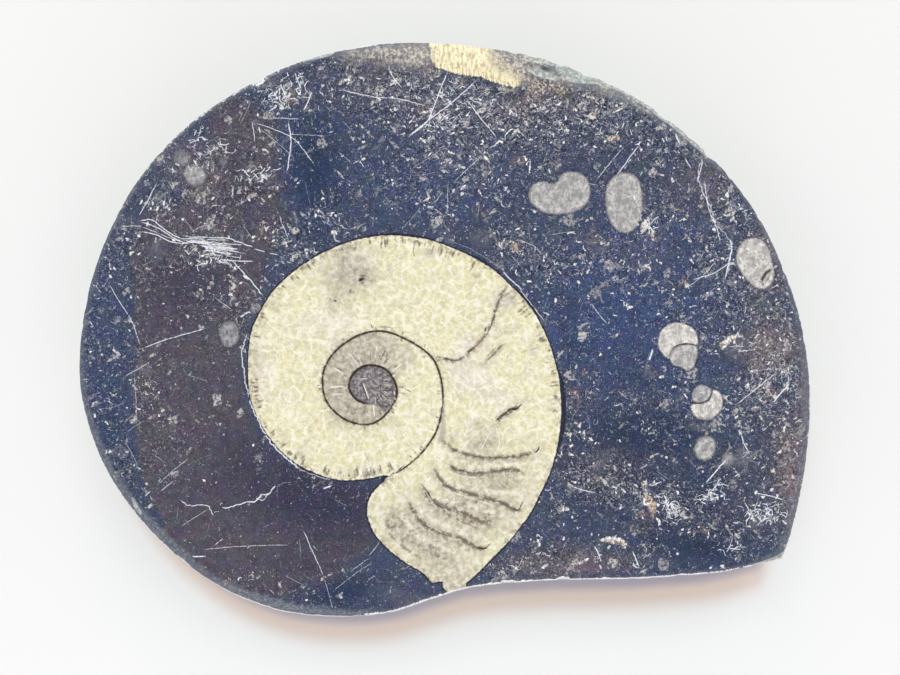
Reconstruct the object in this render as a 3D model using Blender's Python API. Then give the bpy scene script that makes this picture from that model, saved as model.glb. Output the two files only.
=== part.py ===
"""Ammonite fossil slab.

A hand-finished plaque of black limestone in the shape of a nautilus shell. The
coiled shell that it is cut through lies flush in its polished face, so the
plaque is one solid: a ground wall around a flat polished face and a flat back,
with a bevel of changing width along the upper rim. It lies on its back.

Metres, +Z up. The origin is at the middle of the plaque's outline, on the back.
"""
import math
import random

import bmesh
import bpy
from mathutils import Vector

# ---- driving dimensions -----------------------------------------------------
SLAB_WIDTH = 0.120          # along X, the plaque's longest side
SLAB_THICKNESS = 0.016      # back to polished face

# Outline as distances from a hub, in units that SLAB_WIDTH sets, at angles in
# degrees counter-clockwise from +X. It starts and ends at its one sharp corner.
CORNER = (326.2, 0.4118)
OUTLINE = [
    (327.6, 0.4098), (330.0, 0.4058), (340.0, 0.3895), (350.0, 0.3760), (0.0, 0.3628),
    (10.0, 0.3492), (20.0, 0.3370), (30.0, 0.3248), (40.0, 0.3135),
    (50.0, 0.3045), (60.0, 0.2970), (70.0, 0.2915), (80.0, 0.2877),
    (90.0, 0.2885), (100.0, 0.2922), (110.0, 0.2975), (120.0, 0.3045),
    (130.0, 0.3130), (140.0, 0.3235), (150.0, 0.3335), (160.0, 0.3420),
    (170.0, 0.3500), (180.0, 0.3577), (190.0, 0.3642), (200.0, 0.3630),
    (210.0, 0.3568), (220.0, 0.3485), (230.0, 0.3375), (240.0, 0.3245),
    (250.0, 0.3055), (260.0, 0.2870), (268.0, 0.2700), (276.0, 0.2600),
    (284.0, 0.2615), (292.0, 0.2705), (300.0, 0.2882), (310.0, 0.3240),
    (320.0, 0.3755), (323.0, 0.3920),
]

# Bevel of the polished face's rim: angle, width across the face (metres).
BEVEL_WIDTHS = [
    (0.0, 0.0012), (25.0, 0.0007), (45.0, 0.0014), (58.0, 0.0028),
    (75.0, 0.0034), (92.0, 0.0033), (102.0, 0.0020), (115.0, 0.0009),
    (150.0, 0.0007), (180.0, 0.0008), (200.0, 0.0014), (218.0, 0.0019),
    (228.0, 0.0012), (238.0, 0.0019), (248.0, 0.0016), (258.0, 0.0007),
    (300.0, 0.0005), (322.0, 0.0007), (326.3, 0.0016), (332.0, 0.0014),
    (350.0, 0.0014),
]
BEVEL_SLOPE = 0.55          # bevel drop for each unit of its width
BEVEL_CROWN = 0.16          # how far the bevel's middle bulges, of its width

# Chips knocked out of the rim: angle, half length along the rim (degrees),
# depth into the face (metres).
CHIPS = [
    (61.0, 2.6, 0.0011), (66.5, 1.8, 0.0008), (44.0, 1.6, 0.0007),
    (33.0, 1.4, 0.0006), (126.0, 1.8, 0.0006), (222.0, 1.5, 0.0007),
    (285.0, 1.7, 0.0005), (296.0, 1.3, 0.0005),
]
CHIP_WALL_CUT = 0.2         # how far a chip cuts into the wall, of its depth
CHIP_WALL_DROP = 0.8        # and how far it lowers the wall's upper edge
CHIP_BEVEL_CUT = 0.7        # the same for the bevel's middle
CHIP_BEVEL_DROP = 0.3

RIM_STATIONS = 208          # points around the outline
CURVE_STEPS = 24            # steps of the outline's curve between two entries
BACK_INSET = 0.0011         # the back's edge, in from the widest line
BACK_EDGE = 0.0014          # height of the back's worn edge
LOWER_WALL_INSET = 0.0003
WIDEST_LEVEL = 0.46         # height of the widest line, of the thickness
UPPER_WALL_INSET = 0.00015
UPPER_WALL_DROP = 0.0014    # the wall's upper ring, below the bevel's foot
WALL_WAVE = 0.00012         # hand-ground waviness of the wall
WAVE_COUNT = 9
WAVE_TURNS = (5, 31)        # fewest and most waves around the outline
WAVE_SEED = 7

SHARP_ANGLE = math.radians(28.0)
STONE_COLOUR = (0.030, 0.033, 0.052, 1.0)
STONE_ROUGHNESS = 0.28


def wrap(angle):
    """An angle in degrees, brought into 0 to 360."""
    return angle % 360.0


def table_value(table, angle):
    """Value at an angle, eased between the table's neighbouring entries."""
    rows = sorted((wrap(a), value) for a, value in table)
    rows = [(rows[-1][0] - 360.0, rows[-1][1])] + rows + [(rows[0][0] + 360.0, rows[0][1])]
    angle = wrap(angle)
    for (a0, v0), (a1, v1) in zip(rows, rows[1:]):
        if a0 <= angle <= a1:
            share = (angle - a0) / (a1 - a0)
            return v0 + (v1 - v0) * share * share * (3.0 - 2.0 * share)
    return rows[0][1]


def polar_point(angle, distance):
    """Point of the outline about the hub, in the outline's own units."""
    turn = math.radians(angle)
    return Vector((distance * math.cos(turn), distance * math.sin(turn)))


def catmull_rom(p0, p1, p2, p3, share):
    """Centripetal Catmull-Rom curve between p1 and p2."""
    t1 = math.sqrt((p1 - p0).length)
    t2 = t1 + math.sqrt((p2 - p1).length)
    t3 = t2 + math.sqrt((p3 - p2).length)
    t = t1 + (t2 - t1) * share
    a1 = p0 * ((t1 - t) / t1) + p1 * (t / t1)
    a2 = p1 * ((t2 - t) / (t2 - t1)) + p2 * ((t - t1) / (t2 - t1))
    a3 = p2 * ((t3 - t) / (t3 - t2)) + p3 * ((t - t2) / (t3 - t2))
    b1 = a1 * ((t2 - t) / t2) + a2 * (t / t2)
    b2 = a2 * ((t3 - t) / (t3 - t1)) + a3 * ((t - t1) / (t3 - t1))
    return b1 * ((t2 - t) / (t2 - t1)) + b2 * ((t - t1) / (t2 - t1))


def outline_points(count):
    """Evenly spaced points around the outline in metres, from the sharp corner."""
    knots = [polar_point(*CORNER)]
    knots += [polar_point(angle, distance) for angle, distance in OUTLINE]
    knots.append(knots[0].copy())
    ends = [knots[0] * 2.0 - knots[1]] + knots + [knots[-1] * 2.0 - knots[-2]]
    fine = []
    for k in range(len(knots) - 1):
        for j in range(CURVE_STEPS):
            fine.append(catmull_rom(*ends[k:k + 4], j / CURVE_STEPS))
    fine.append(knots[-1])
    lengths = [0.0]
    for a, b in zip(fine, fine[1:]):
        lengths.append(lengths[-1] + (b - a).length)
    points = []
    at = 0
    for n in range(count):
        goal = lengths[-1] * n / count
        while lengths[at + 1] < goal:
            at += 1
        share = (goal - lengths[at]) / (lengths[at + 1] - lengths[at])
        points.append(fine[at].lerp(fine[at + 1], share))
    width = max(p.x for p in points) - min(p.x for p in points)
    return [p * (SLAB_WIDTH / width) for p in points]


def inward_normals(points):
    """Unit vectors that point into the plaque at each outline point."""
    normals = []
    for n in range(len(points)):
        along = points[(n + 1) % len(points)] - points[n - 1]
        normals.append(Vector((-along.y, along.x)).normalized())
    return normals


def chip_depth(angle):
    """How deep the rim's chips cut at an angle."""
    depth = 0.0
    for middle, half, deepest in CHIPS:
        away = abs((angle - middle + 180.0) % 360.0 - 180.0) / half
        if away < 1.0:
            depth = max(depth, deepest * math.sqrt(1.0 - away * away))
    return depth


def wall_waves(count):
    """Smooth seeded waviness of the ground wall, one value per station."""
    rng = random.Random(WAVE_SEED)
    waves = []
    for _ in range(WAVE_COUNT):
        waves.append((rng.randint(*WAVE_TURNS), rng.uniform(0.0, math.tau), rng.uniform(0.3, 1.0)))
    total = sum(size for _, _, size in waves)
    values = []
    for n in range(count):
        turn = math.tau * n / count
        values.append(sum(size * math.sin(k * turn + phase) for k, phase, size in waves) / total)
    return values


def rim_rings():
    """The plaque's wall as rings of points, from the back to the face."""
    points = outline_points(RIM_STATIONS)
    normals = inward_normals(points)
    waves = wall_waves(RIM_STATIONS)
    middle_x = (min(p.x for p in points) + max(p.x for p in points)) / 2.0
    middle_y = (min(p.y for p in points) + max(p.y for p in points)) / 2.0
    middle = Vector((middle_x, middle_y))
    stations = []
    for point, normal, wave in zip(points, normals, waves):
        angle = math.degrees(math.atan2(point.y, point.x))
        bevel = table_value(BEVEL_WIDTHS, angle)
        chip = chip_depth(angle)
        drop = bevel * BEVEL_SLOPE
        ripple = WALL_WAVE * (1.0 + wave)
        profile = [
            (0.0, BACK_INSET + ripple),
            (BACK_EDGE * 0.45, BACK_INSET * 0.55 + ripple),
            (BACK_EDGE, LOWER_WALL_INSET + ripple),
            (SLAB_THICKNESS * WIDEST_LEVEL, 0.0),
            (SLAB_THICKNESS - drop - UPPER_WALL_DROP - chip, UPPER_WALL_INSET),
            (SLAB_THICKNESS - drop - chip * CHIP_WALL_DROP, UPPER_WALL_INSET + chip * CHIP_WALL_CUT),
            (SLAB_THICKNESS - drop * (0.5 - BEVEL_CROWN) - chip * CHIP_BEVEL_DROP,
             bevel * 0.5 + chip * CHIP_BEVEL_CUT),
            (SLAB_THICKNESS, bevel + chip),
        ]
        places = [(point + normal * inset - middle, height) for height, inset in profile]
        stations.append([Vector((place.x, place.y, height)) for place, height in places])
    return list(zip(*stations))


def stone_material():
    """Black limestone, ground and polished."""
    material = bpy.data.materials.new("polished_stone")
    material.use_nodes = True
    shader = material.node_tree.nodes["Principled BSDF"]
    shader.inputs["Base Color"].default_value = STONE_COLOUR
    shader.inputs["Roughness"].default_value = STONE_ROUGHNESS
    shader.inputs["Metallic"].default_value = 0.0
    return material


def build_slab():
    """The whole plaque as one closed solid."""
    shape = bmesh.new()
    rings = [[shape.verts.new(place) for place in ring] for ring in rim_rings()]
    for lower, upper in zip(rings, rings[1:]):
        for n in range(RIM_STATIONS):
            m = (n + 1) % RIM_STATIONS
            shape.faces.new((lower[n], lower[m], upper[m], upper[n]))
    shape.faces.new(list(reversed(rings[0])))
    shape.faces.new(rings[-1])
    bmesh.ops.recalc_face_normals(shape, faces=shape.faces)
    mesh = bpy.data.meshes.new("fossil_slab")
    shape.to_mesh(mesh)
    shape.free()
    mesh.shade_smooth()
    mesh.set_sharp_from_angle(angle=SHARP_ANGLE)
    mesh.materials.append(stone_material())
    slab = bpy.data.objects.new("fossil_slab", mesh)
    bpy.context.scene.collection.objects.link(slab)
    return slab


def main():
    for old in list(bpy.data.objects):
        bpy.data.objects.remove(old, do_unlink=True)
    build_slab()


main()
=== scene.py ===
"""Looks of the ammonite fossil slab: a polished black limestone plaque lying on a pale floor.

One dressed piece stands for the slab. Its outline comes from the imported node, and its face is a
mesh whose edges follow the shell's lines, the scratches and the debris, so that each line is a
per-vertex value that stays sharp. Everything drawn on the face is flush with it. The layout is
surveyed in pixels of a 900 x 675 view of the face, which survey_to_face() turns into metres.
"""
import math
import random

import bpy
import numpy as np
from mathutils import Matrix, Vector, noise
from mathutils.geometry import delaunay_2d_cdt


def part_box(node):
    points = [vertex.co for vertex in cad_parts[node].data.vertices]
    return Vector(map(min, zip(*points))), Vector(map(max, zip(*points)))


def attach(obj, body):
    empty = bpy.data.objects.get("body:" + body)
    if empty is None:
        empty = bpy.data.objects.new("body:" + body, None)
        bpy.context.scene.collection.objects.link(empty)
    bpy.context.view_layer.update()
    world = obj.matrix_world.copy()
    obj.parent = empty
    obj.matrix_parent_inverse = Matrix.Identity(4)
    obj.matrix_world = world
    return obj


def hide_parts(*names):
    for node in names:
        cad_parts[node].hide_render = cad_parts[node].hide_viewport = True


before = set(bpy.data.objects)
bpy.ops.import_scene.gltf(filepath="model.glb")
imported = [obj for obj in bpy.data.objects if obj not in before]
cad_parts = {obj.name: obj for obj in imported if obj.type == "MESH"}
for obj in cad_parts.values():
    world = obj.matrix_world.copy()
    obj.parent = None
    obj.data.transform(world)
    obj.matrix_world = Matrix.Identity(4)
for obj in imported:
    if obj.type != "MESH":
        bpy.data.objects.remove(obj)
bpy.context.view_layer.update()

MM = 0.001

# ---- the slab, from the frame -------------------------------------------------
NODE = "fossil_slab"
PIECE = "fossil_slab_dressed"
STONE = "polished_fossil_stone"
LOW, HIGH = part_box(NODE)
WIDTH = HIGH.x - LOW.x
THICKNESS = HIGH.z - LOW.z
WIDEST_LEVEL = 0.46         # height of the wall's widest line, of the thickness
WIDEST_LEVEL_MARGIN = 0.02 * MM

# ---- survey: the slab's box in the 900 x 675 view, in pixels ---------------------
VIEW_SIZE = (900.0, 675.0)
VIEW_MIDDLE = (VIEW_SIZE[0] / 2.0, VIEW_SIZE[1] / 2.0)
SURVEY_LEFT = 80.1
SURVEY_RIGHT = 810.0
SURVEY_MIDDLE = ((SURVEY_LEFT + SURVEY_RIGHT) / 2.0, 329.1)
PIXEL = WIDTH / (SURVEY_RIGHT - SURVEY_LEFT)      # metres on the face
PIXEL_MM = PIXEL / MM
HUB = (440.0, 330.0)        # the rim's tables give angles around it
LENS = 50.0
SENSOR = 36.0
OUTLINE_DEPTH = 1.4 * MM    # below the face: the level whose survey scale is PIXEL
CAMERA_REACH = VIEW_SIZE[0] * PIXEL * LENS / SENSOR
FACE_PIXEL = PIXEL * (CAMERA_REACH - OUTLINE_DEPTH) / CAMERA_REACH
CAMERA_SPOT = ((VIEW_MIDDLE[0] - SURVEY_MIDDLE[0]) * PIXEL, (SURVEY_MIDDLE[1] - VIEW_MIDDLE[1]) * PIXEL)

# ---- rim: all its tables give angles around the hub, in degrees --------------------
# width of the bevel of the face's edge in millimetres, as in the solid
BEVEL_WIDTHS = [
    (0.0, 1.2), (25.0, 0.7), (45.0, 1.4), (58.0, 2.8), (75.0, 3.4), (92.0, 3.3), (102.0, 2.0), (115.0, 0.9),
    (150.0, 0.7), (180.0, 0.8), (200.0, 1.4), (218.0, 1.9), (228.0, 1.2), (238.0, 1.9), (248.0, 1.6),
    (258.0, 0.7), (300.0, 0.5), (322.0, 0.7), (326.3, 1.6), (332.0, 1.4), (350.0, 1.4),
]
# half length along the rim in degrees, depth in millimetres
CHIPS = [
    (61.0, 2.6, 0.5), (66.5, 1.8, 0.5), (44.0, 1.6, 0.7), (33.0, 1.4, 0.6), (126.0, 1.8, 0.6),
    (222.0, 1.5, 0.3), (285.0, 1.7, 0.5), (296.0, 1.3, 0.5),
]
# how deep the fine chipping of the bevel's edges goes, in millimetres
NICK_SIZES = [
    (0.0, 0.22), (20.0, 0.3), (60.0, 0.42), (110.0, 0.3), (130.0, 0.14), (225.0, 0.16), (245.0, 0.3),
    (330.0, 0.3), (345.0, 0.2),
]
# how dusty the ground bevel looks
RIM_DUST = [
    (0.0, 0.35), (20.0, 0.3), (35.0, 0.45), (50.0, 0.55), (62.0, 0.7), (72.0, 0.95), (90.0, 1.0),
    (97.0, 0.6), (105.0, 0.45), (112.0, 0.45), (150.0, 0.4), (185.0, 0.35), (200.0, 0.75), (225.0, 0.85),
    (240.0, 0.95), (252.0, 0.75), (262.0, 0.4), (320.0, 0.4), (327.0, 0.6), (335.0, 0.45), (350.0, 0.4),
]
# how chalky its broken edge is
EDGE_CHALK = [
    (0.0, 0.6), (20.0, 0.5), (45.0, 0.45), (60.0, 0.45), (75.0, 0.2), (95.0, 0.2), (108.0, 0.9),
    (122.0, 0.95), (140.0, 0.85), (160.0, 0.55), (185.0, 0.35), (195.0, 0.6), (210.0, 0.7), (228.0, 0.95),
    (245.0, 1.0), (258.0, 1.05), (266.0, 1.1), (300.0, 1.1), (312.0, 0.95), (323.0, 0.9), (332.0, 0.7),
]
BEVEL_SLOPE = 0.55          # bevel drop for each unit of its width
BEVEL_CROWN = 0.16          # how far the bevel's middle bulges, of its width
BACK_INSET = 1.1 * MM       # the back's edge, in from the widest line
BACK_CURVE_INSET = 0.6 * MM
BACK_EDGE = 1.4 * MM        # height of the back's worn edge
LOWER_WALL_INSET = 0.3 * MM
UPPER_WALL_INSET = 0.15 * MM
UPPER_WALL_DROP = 1.4 * MM  # the wall's upper ring, below the bevel's foot
BEVEL_FOOT_INSET = 0.12 * MM
NARROW_BEVEL = 1.1 * MM     # a narrower bevel is all broken edge
NICK_SEEDS = (3.0, 17.0)    # for the bevel's outer and inner edge

# ---- the coiled shell ---------------------------------------------------------------
OUTER_WALL = [
    (465, 584), (479, 572), (495, 555), (509, 541), (521, 526), (531, 512), (541, 492), (549, 475),
    (555, 456), (559, 436), (561, 415), (561, 402), (560, 388), (558, 374), (553, 355), (548, 340),
    (541, 325), (533, 311), (521, 296), (510, 285), (495, 271), (481, 262), (464, 253), (447, 246),
    (429, 240), (412, 237), (395, 235.5), (374, 236.5), (343, 244), (311, 259.5), (289, 275.5),
    (273, 291.5), (264, 305), (258, 316), (252, 330), (249, 347), (248, 366), (248.5, 382), (250, 396),
    (255, 411), (261, 424), (270, 438), (283, 453), (300, 466), (313, 472), (328, 477.5), (343, 480),
    (360, 479.5), (376, 477), (391, 473.5), (404, 467),
]
INNER_WALL = [
    (404, 467), (416, 457), (427, 446), (436, 432), (441, 415), (443, 398), (441, 379), (436, 364),
    (429, 354.5), (415, 344), (399, 336), (389, 332.5), (378, 331), (365, 333), (353, 338), (338, 348.5),
    (328, 361), (323, 374), (323, 389), (326, 400), (333, 410), (347, 420.5), (364, 424.5), (377, 421.5),
    (388, 412), (395, 400), (397, 389), (392, 377), (386, 370), (377, 366), (366, 366), (356, 371.5),
    (349.5, 380), (349, 389), (354, 397), (361, 402), (368, 403.6), (374, 402), (380, 396),
]
INNER_WALL_END = ([(436, 432), (429, 444), (421, 454), (411, 463), (401, 470), (393, 474.5)], 1.5, 0.95)
LIP = [
    (405, 464), (392, 475), (378, 487), (370, 497), (367, 509), (369, 521), (375, 534), (386, 547),
    (402, 560), (412, 566.5), (423, 572.8), (432, 583.2),
]
# below the lip: a dark notch, then the slab's edge, which the outline overshoots
TIP = [
    (437, 582), (443.5, 580), (442.4, 586), (444.5, 589.5), (449, 593), (451, 602), (471, 597),
]
DARK_WHORL = [
    (349, 385), (352, 376), (358, 370), (366, 366), (376, 366), (385, 369.5), (391, 376), (395, 384),
    (396.5, 392), (394.5, 400), (390, 407), (384, 411), (379, 407), (373, 404.5), (367, 403.6), (359, 401),
    (353, 395),
]
# the first turn around the dark centre, greyer than the rest
FIRST_TURN = [
    (397, 393), (395, 403), (389, 411), (378, 418.5), (366, 422), (352, 421), (338, 413), (328, 401),
    (323, 387), (324, 370), (331, 354), (343, 342), (358, 334.5), (374, 332), (392, 336), (408, 345),
    (420, 356), (412, 366), (400, 374), (397, 384),
]
MATRIX_WEDGE = [
    (443.2, 398), (444.4, 408), (445.2, 420), (445.8, 432), (444.6, 438), (441, 441), (438, 443),
    (440, 432), (442, 420), (443, 408),
]

# Lines: points, half width, strength.
# dark lines in the shell
DARK_LINES = [
    # inner wall
    (INNER_WALL, 1.75, 0.98),
    # rim of the dark centre
    ([(373, 404.3), (366, 403.4), (358, 400.5), (352, 394.5), (348.8, 385.5), (351.6, 376), (357.5, 369.6),
      (365.5, 365.6), (375.5, 365.6), (385, 369), (391.5, 375.8), (395.6, 384), (397, 392), (395.4, 400),
      (391, 407.5)], 2.0, 1.1),
    # septa
    ([(430.6, 356), (437, 357), (444, 358), (457, 360.5), (464, 356), (475, 347), (486, 335), (492, 323),
      (495, 312), (498, 303), (502, 296), (507, 289)], 1.7, 0.55), ([(444, 358), (449, 359)], 2.0, 0.75),
    ([(466, 353), (476, 346)], 2.3, 0.6), ([(484, 333), (487, 326)], 2.0, 0.8),
    ([(493, 314), (495, 308)], 1.8, 0.75), ([(497, 297), (504, 292)], 2.6, 0.55),
    ([(508, 343), (501, 346), (495, 353), (490, 358), (484, 363)], 1.5, 0.45),
    # growth ridges
    ([(446, 441), (452, 448), (461, 453), (470, 455.5), (480, 457), (500, 457.5), (515, 456.5),
      (527, 454.5), (535, 453), (539, 447)], 1.5, 0.42),
    ([(533, 453), (537.5, 451), (539.5, 446)], 1.4, 0.85),
    ([(446, 463), (452, 467.5), (458, 470.5), (472, 473), (489, 472.5), (500, 470.5), (509, 469.5),
      (517, 470), (523, 474), (525, 479)], 1.5, 0.42), ([(448, 464), (456, 469), (469, 472.5)], 1.7, 0.55),
    ([(433, 464), (435, 471), (439, 478), (444, 483.5), (450, 487.5), (462, 491), (479, 496.5), (490, 499),
      (500, 502), (508, 506), (516, 510.5)], 1.5, 0.42),
    ([(512, 508), (516.5, 510.5), (520, 508), (523, 501)], 1.3, 0.88),
    ([(421, 485), (425, 491), (430, 498), (436, 504), (444, 508), (452, 510), (458, 511), (468, 515),
      (480, 520)], 1.5, 0.42), ([(421, 484), (427, 491), (433, 502)], 1.4, 0.62),
    ([(459, 521), (466, 523.5), (474, 527), (479, 529)], 1.2, 0.5),
    ([(406, 498), (412, 509), (419, 519), (426, 525.5), (433, 530), (441, 533.5), (450, 536.5), (459, 538),
      (467, 541), (474, 545), (479, 548.5)], 1.5, 0.42),
    ([(477, 547.5), (484, 549), (487, 547), (490, 543)], 1.5, 0.95),
    # crack
    ([(495, 422), (500, 417), (505, 414), (510, 409), (514, 410), (518, 408), (522, 403)], 1.4, 0.8),
    ([(495, 421), (497, 415), (503, 410), (509, 408)], 1.0, 0.4),
    ([(507, 411), (512, 408.5), (517, 410)], 2.0, 0.85),
    # grey spots and streaks
    ([(358.5, 281.5), (361, 278.5), (364.5, 280.5)], 3.0, 0.95), ([(350, 292), (352, 289)], 2.2, 0.85),
    ([(346, 294), (349, 295)], 1.4, 0.6), ([(333, 303), (335, 300), (337, 302)], 1.8, 0.8),
    ([(318, 309), (322, 309)], 1.6, 0.45), ([(367, 281), (374, 281), (381, 282)], 1.0, 0.35),
    ([(352, 299), (357, 303), (361, 305)], 1.0, 0.4), ([(370, 327), (377, 327), (386, 327), (394, 328)],
                                                       2.0, 0.45),
    # ripples
    ([(541, 346), (534, 349), (526, 351), (520, 353)], 1.3, 0.35), ([(541, 357), (533, 359)], 1.2, 0.3),
    ([(535, 362), (541, 365)], 1.0, 0.25), ([(446, 379), (450, 383)], 1.2, 0.4),
    ([(471, 387), (478, 387), (486, 384), (492, 381)], 1.1, 0.3),
    ([(510, 430), (514, 436), (516, 440)], 1.1, 0.3), ([(486, 357), (492, 352), (497, 346)], 2.2, 0.45),
    # marks near the outer wall
    ([(417, 240), (414, 246), (413.5, 252), (415, 258)], 1.2, 0.5),
    ([(338, 246), (342, 254), (344, 264), (346, 272)], 1.4, 0.3),
    ([(364, 451), (367, 458), (370, 463)], 1.5, 0.4),
    # inside the first turn
    ([(376, 364), (374.5, 356), (374, 348)], 1.1, 0.35), ([(370, 362), (368, 352)], 1.0, 0.28),
    ([(386, 368), (391, 360)], 1.0, 0.25),
    # inside the dark centre
    ([(361, 382), (364, 389), (367, 398), (367.5, 402)], 1.0, 0.85),
    ([(379, 383), (381, 390), (380, 397), (376, 401)], 1.2, 0.75),
    ([(352, 386), (355, 379), (361, 375), (367, 376)], 1.1, 0.5),
    ([(381, 391), (388, 390), (395, 392)], 1.2, 0.6), ([(382, 396), (388, 399), (393, 399)], 1.1, 0.55),
    ([(381, 386), (388, 383), (392, 380)], 1.1, 0.5), ([(379, 403), (386, 407), (391, 405)], 1.2, 0.6),
]
# soft grey-brown lines in the shell
SOFT_LINES = [
    ([(446, 441), (452, 448), (461, 453), (480, 457), (500, 457.5), (527, 454.5), (539, 447)], 4.0, 0.85),
    ([(446, 463), (458, 470.5), (472, 473), (500, 470.5), (517, 470), (525, 479)], 4.2, 0.9),
    ([(433, 464), (439, 478), (450, 487.5), (479, 496.5), (500, 502), (518, 511), (523, 501)], 4.0, 0.9),
    ([(421, 485), (430, 498), (444, 508), (458, 511), (480, 520), (497, 524)], 4.4, 0.95),
    ([(406, 498), (419, 519), (433, 530), (459, 538), (479, 548.5), (490, 543)], 4.0, 0.9),
    ([(430.6, 356), (457, 360.5), (475, 347), (492, 323), (498, 303), (507, 289)], 4.0, 0.6),
    ([(508, 343), (501, 346), (490, 358), (482, 366)], 3.6, 0.5),
    ([(495, 422), (505, 414), (514, 409), (522, 403)], 4.4, 0.9),
    ([(449, 383), (456, 392), (462, 405)], 3.4, 0.3), ([(441, 438), (449, 447), (456, 453)], 5.0, 0.55),
    ([(386, 531), (396, 541), (410, 552), (425, 560)], 4.0, 0.5), (INNER_WALL, 4.2, 0.55),
]
PALE_LINES = [
    # inside the dark centre
    ([(363, 383), (366, 391), (369, 400)], 1.0, 0.75), ([(359, 381), (363, 378.5), (369, 379)], 1.0, 0.55),
    # beside the growth ridges
    ([(445, 468), (454, 474), (468, 477), (488, 477)], 1.6, 0.45),
    ([(448, 491), (462, 495), (478, 500.5), (496, 506)], 1.4, 0.45),
    ([(424, 489), (431, 500), (440, 511)], 1.2, 0.45),
    # fan of crystals
    ([(494, 424), (486, 418), (478, 415), (468, 418)], 0.9, 0.6),
    ([(493, 426), (486, 440), (480, 452)], 1.0, 0.5), ([(495, 425), (499, 436), (499, 446), (493, 456)],
                                                       1.0, 0.6),
    ([(490, 424), (478, 432), (466, 444), (460, 452)], 1.0, 0.55),
    ([(469, 429), (464, 436), (457, 446)], 1.0, 0.45), ([(483, 428), (483, 440), (476, 452)], 0.8, 0.4),
]
# soft strokes in the shell: painted shade beside the growth ridges
SHADE_STROKES = [
    ([(444, 436), (447, 446), (461, 457), (480, 461), (515, 460), (540, 450)], 8.0, 0.62),
    ([(446, 462), (458, 472), (489, 476), (520, 472)], 10.0, 0.85), ([(452, 470), (468, 474)], 7.0, 0.8),
    ([(476, 480), (500, 484), (522, 480)], 11.0, 0.65),
    ([(434, 462), (438, 480), (462, 496), (490, 504), (516, 513)], 9.0, 0.75),
    ([(420, 484), (436, 506), (458, 517), (500, 527)], 12.0, 0.95),
    ([(407, 500), (426, 529), (459, 543), (485, 553)], 10.0, 0.8),
    ([(384, 512), (396, 532), (420, 547), (450, 562)], 13.0, 0.8),
    ([(500, 497), (520, 505), (524, 498)], 6.0, 0.5), ([(528, 460), (540, 452), (544, 440)], 6.0, 0.4),
    ([(430, 357), (457, 362), (486, 337), (506, 291)], 7.0, 0.35),
    ([(508, 343), (490, 358), (476, 372)], 8.0, 0.3), ([(467, 420), (492, 428), (510, 412), (524, 402)],
                                                       7.0, 0.55),
]
# painted highlights along the growth ridges
RIDGE_HIGHLIGHT_STROKES = [
    ([(448, 452), (462, 463), (485, 466), (520, 463), (540, 460)], 4.5, 0.9),
    ([(440, 468), (454, 483), (480, 489), (515, 493), (530, 491)], 4.5, 0.9),
    ([(424, 479), (439, 497), (464, 505), (495, 513), (512, 519)], 4.5, 0.9),
    ([(412, 493), (427, 517), (452, 528), (482, 538), (500, 541)], 4.5, 0.9),
    ([(398, 505), (414, 532), (440, 547), (470, 558)], 5.0, 0.8),
    ([(386, 504), (382, 520), (394, 540), (415, 560)], 5.0, 0.4),
    ([(498, 300), (486, 346), (462, 374)], 8.0, 0.35),
]

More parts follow.
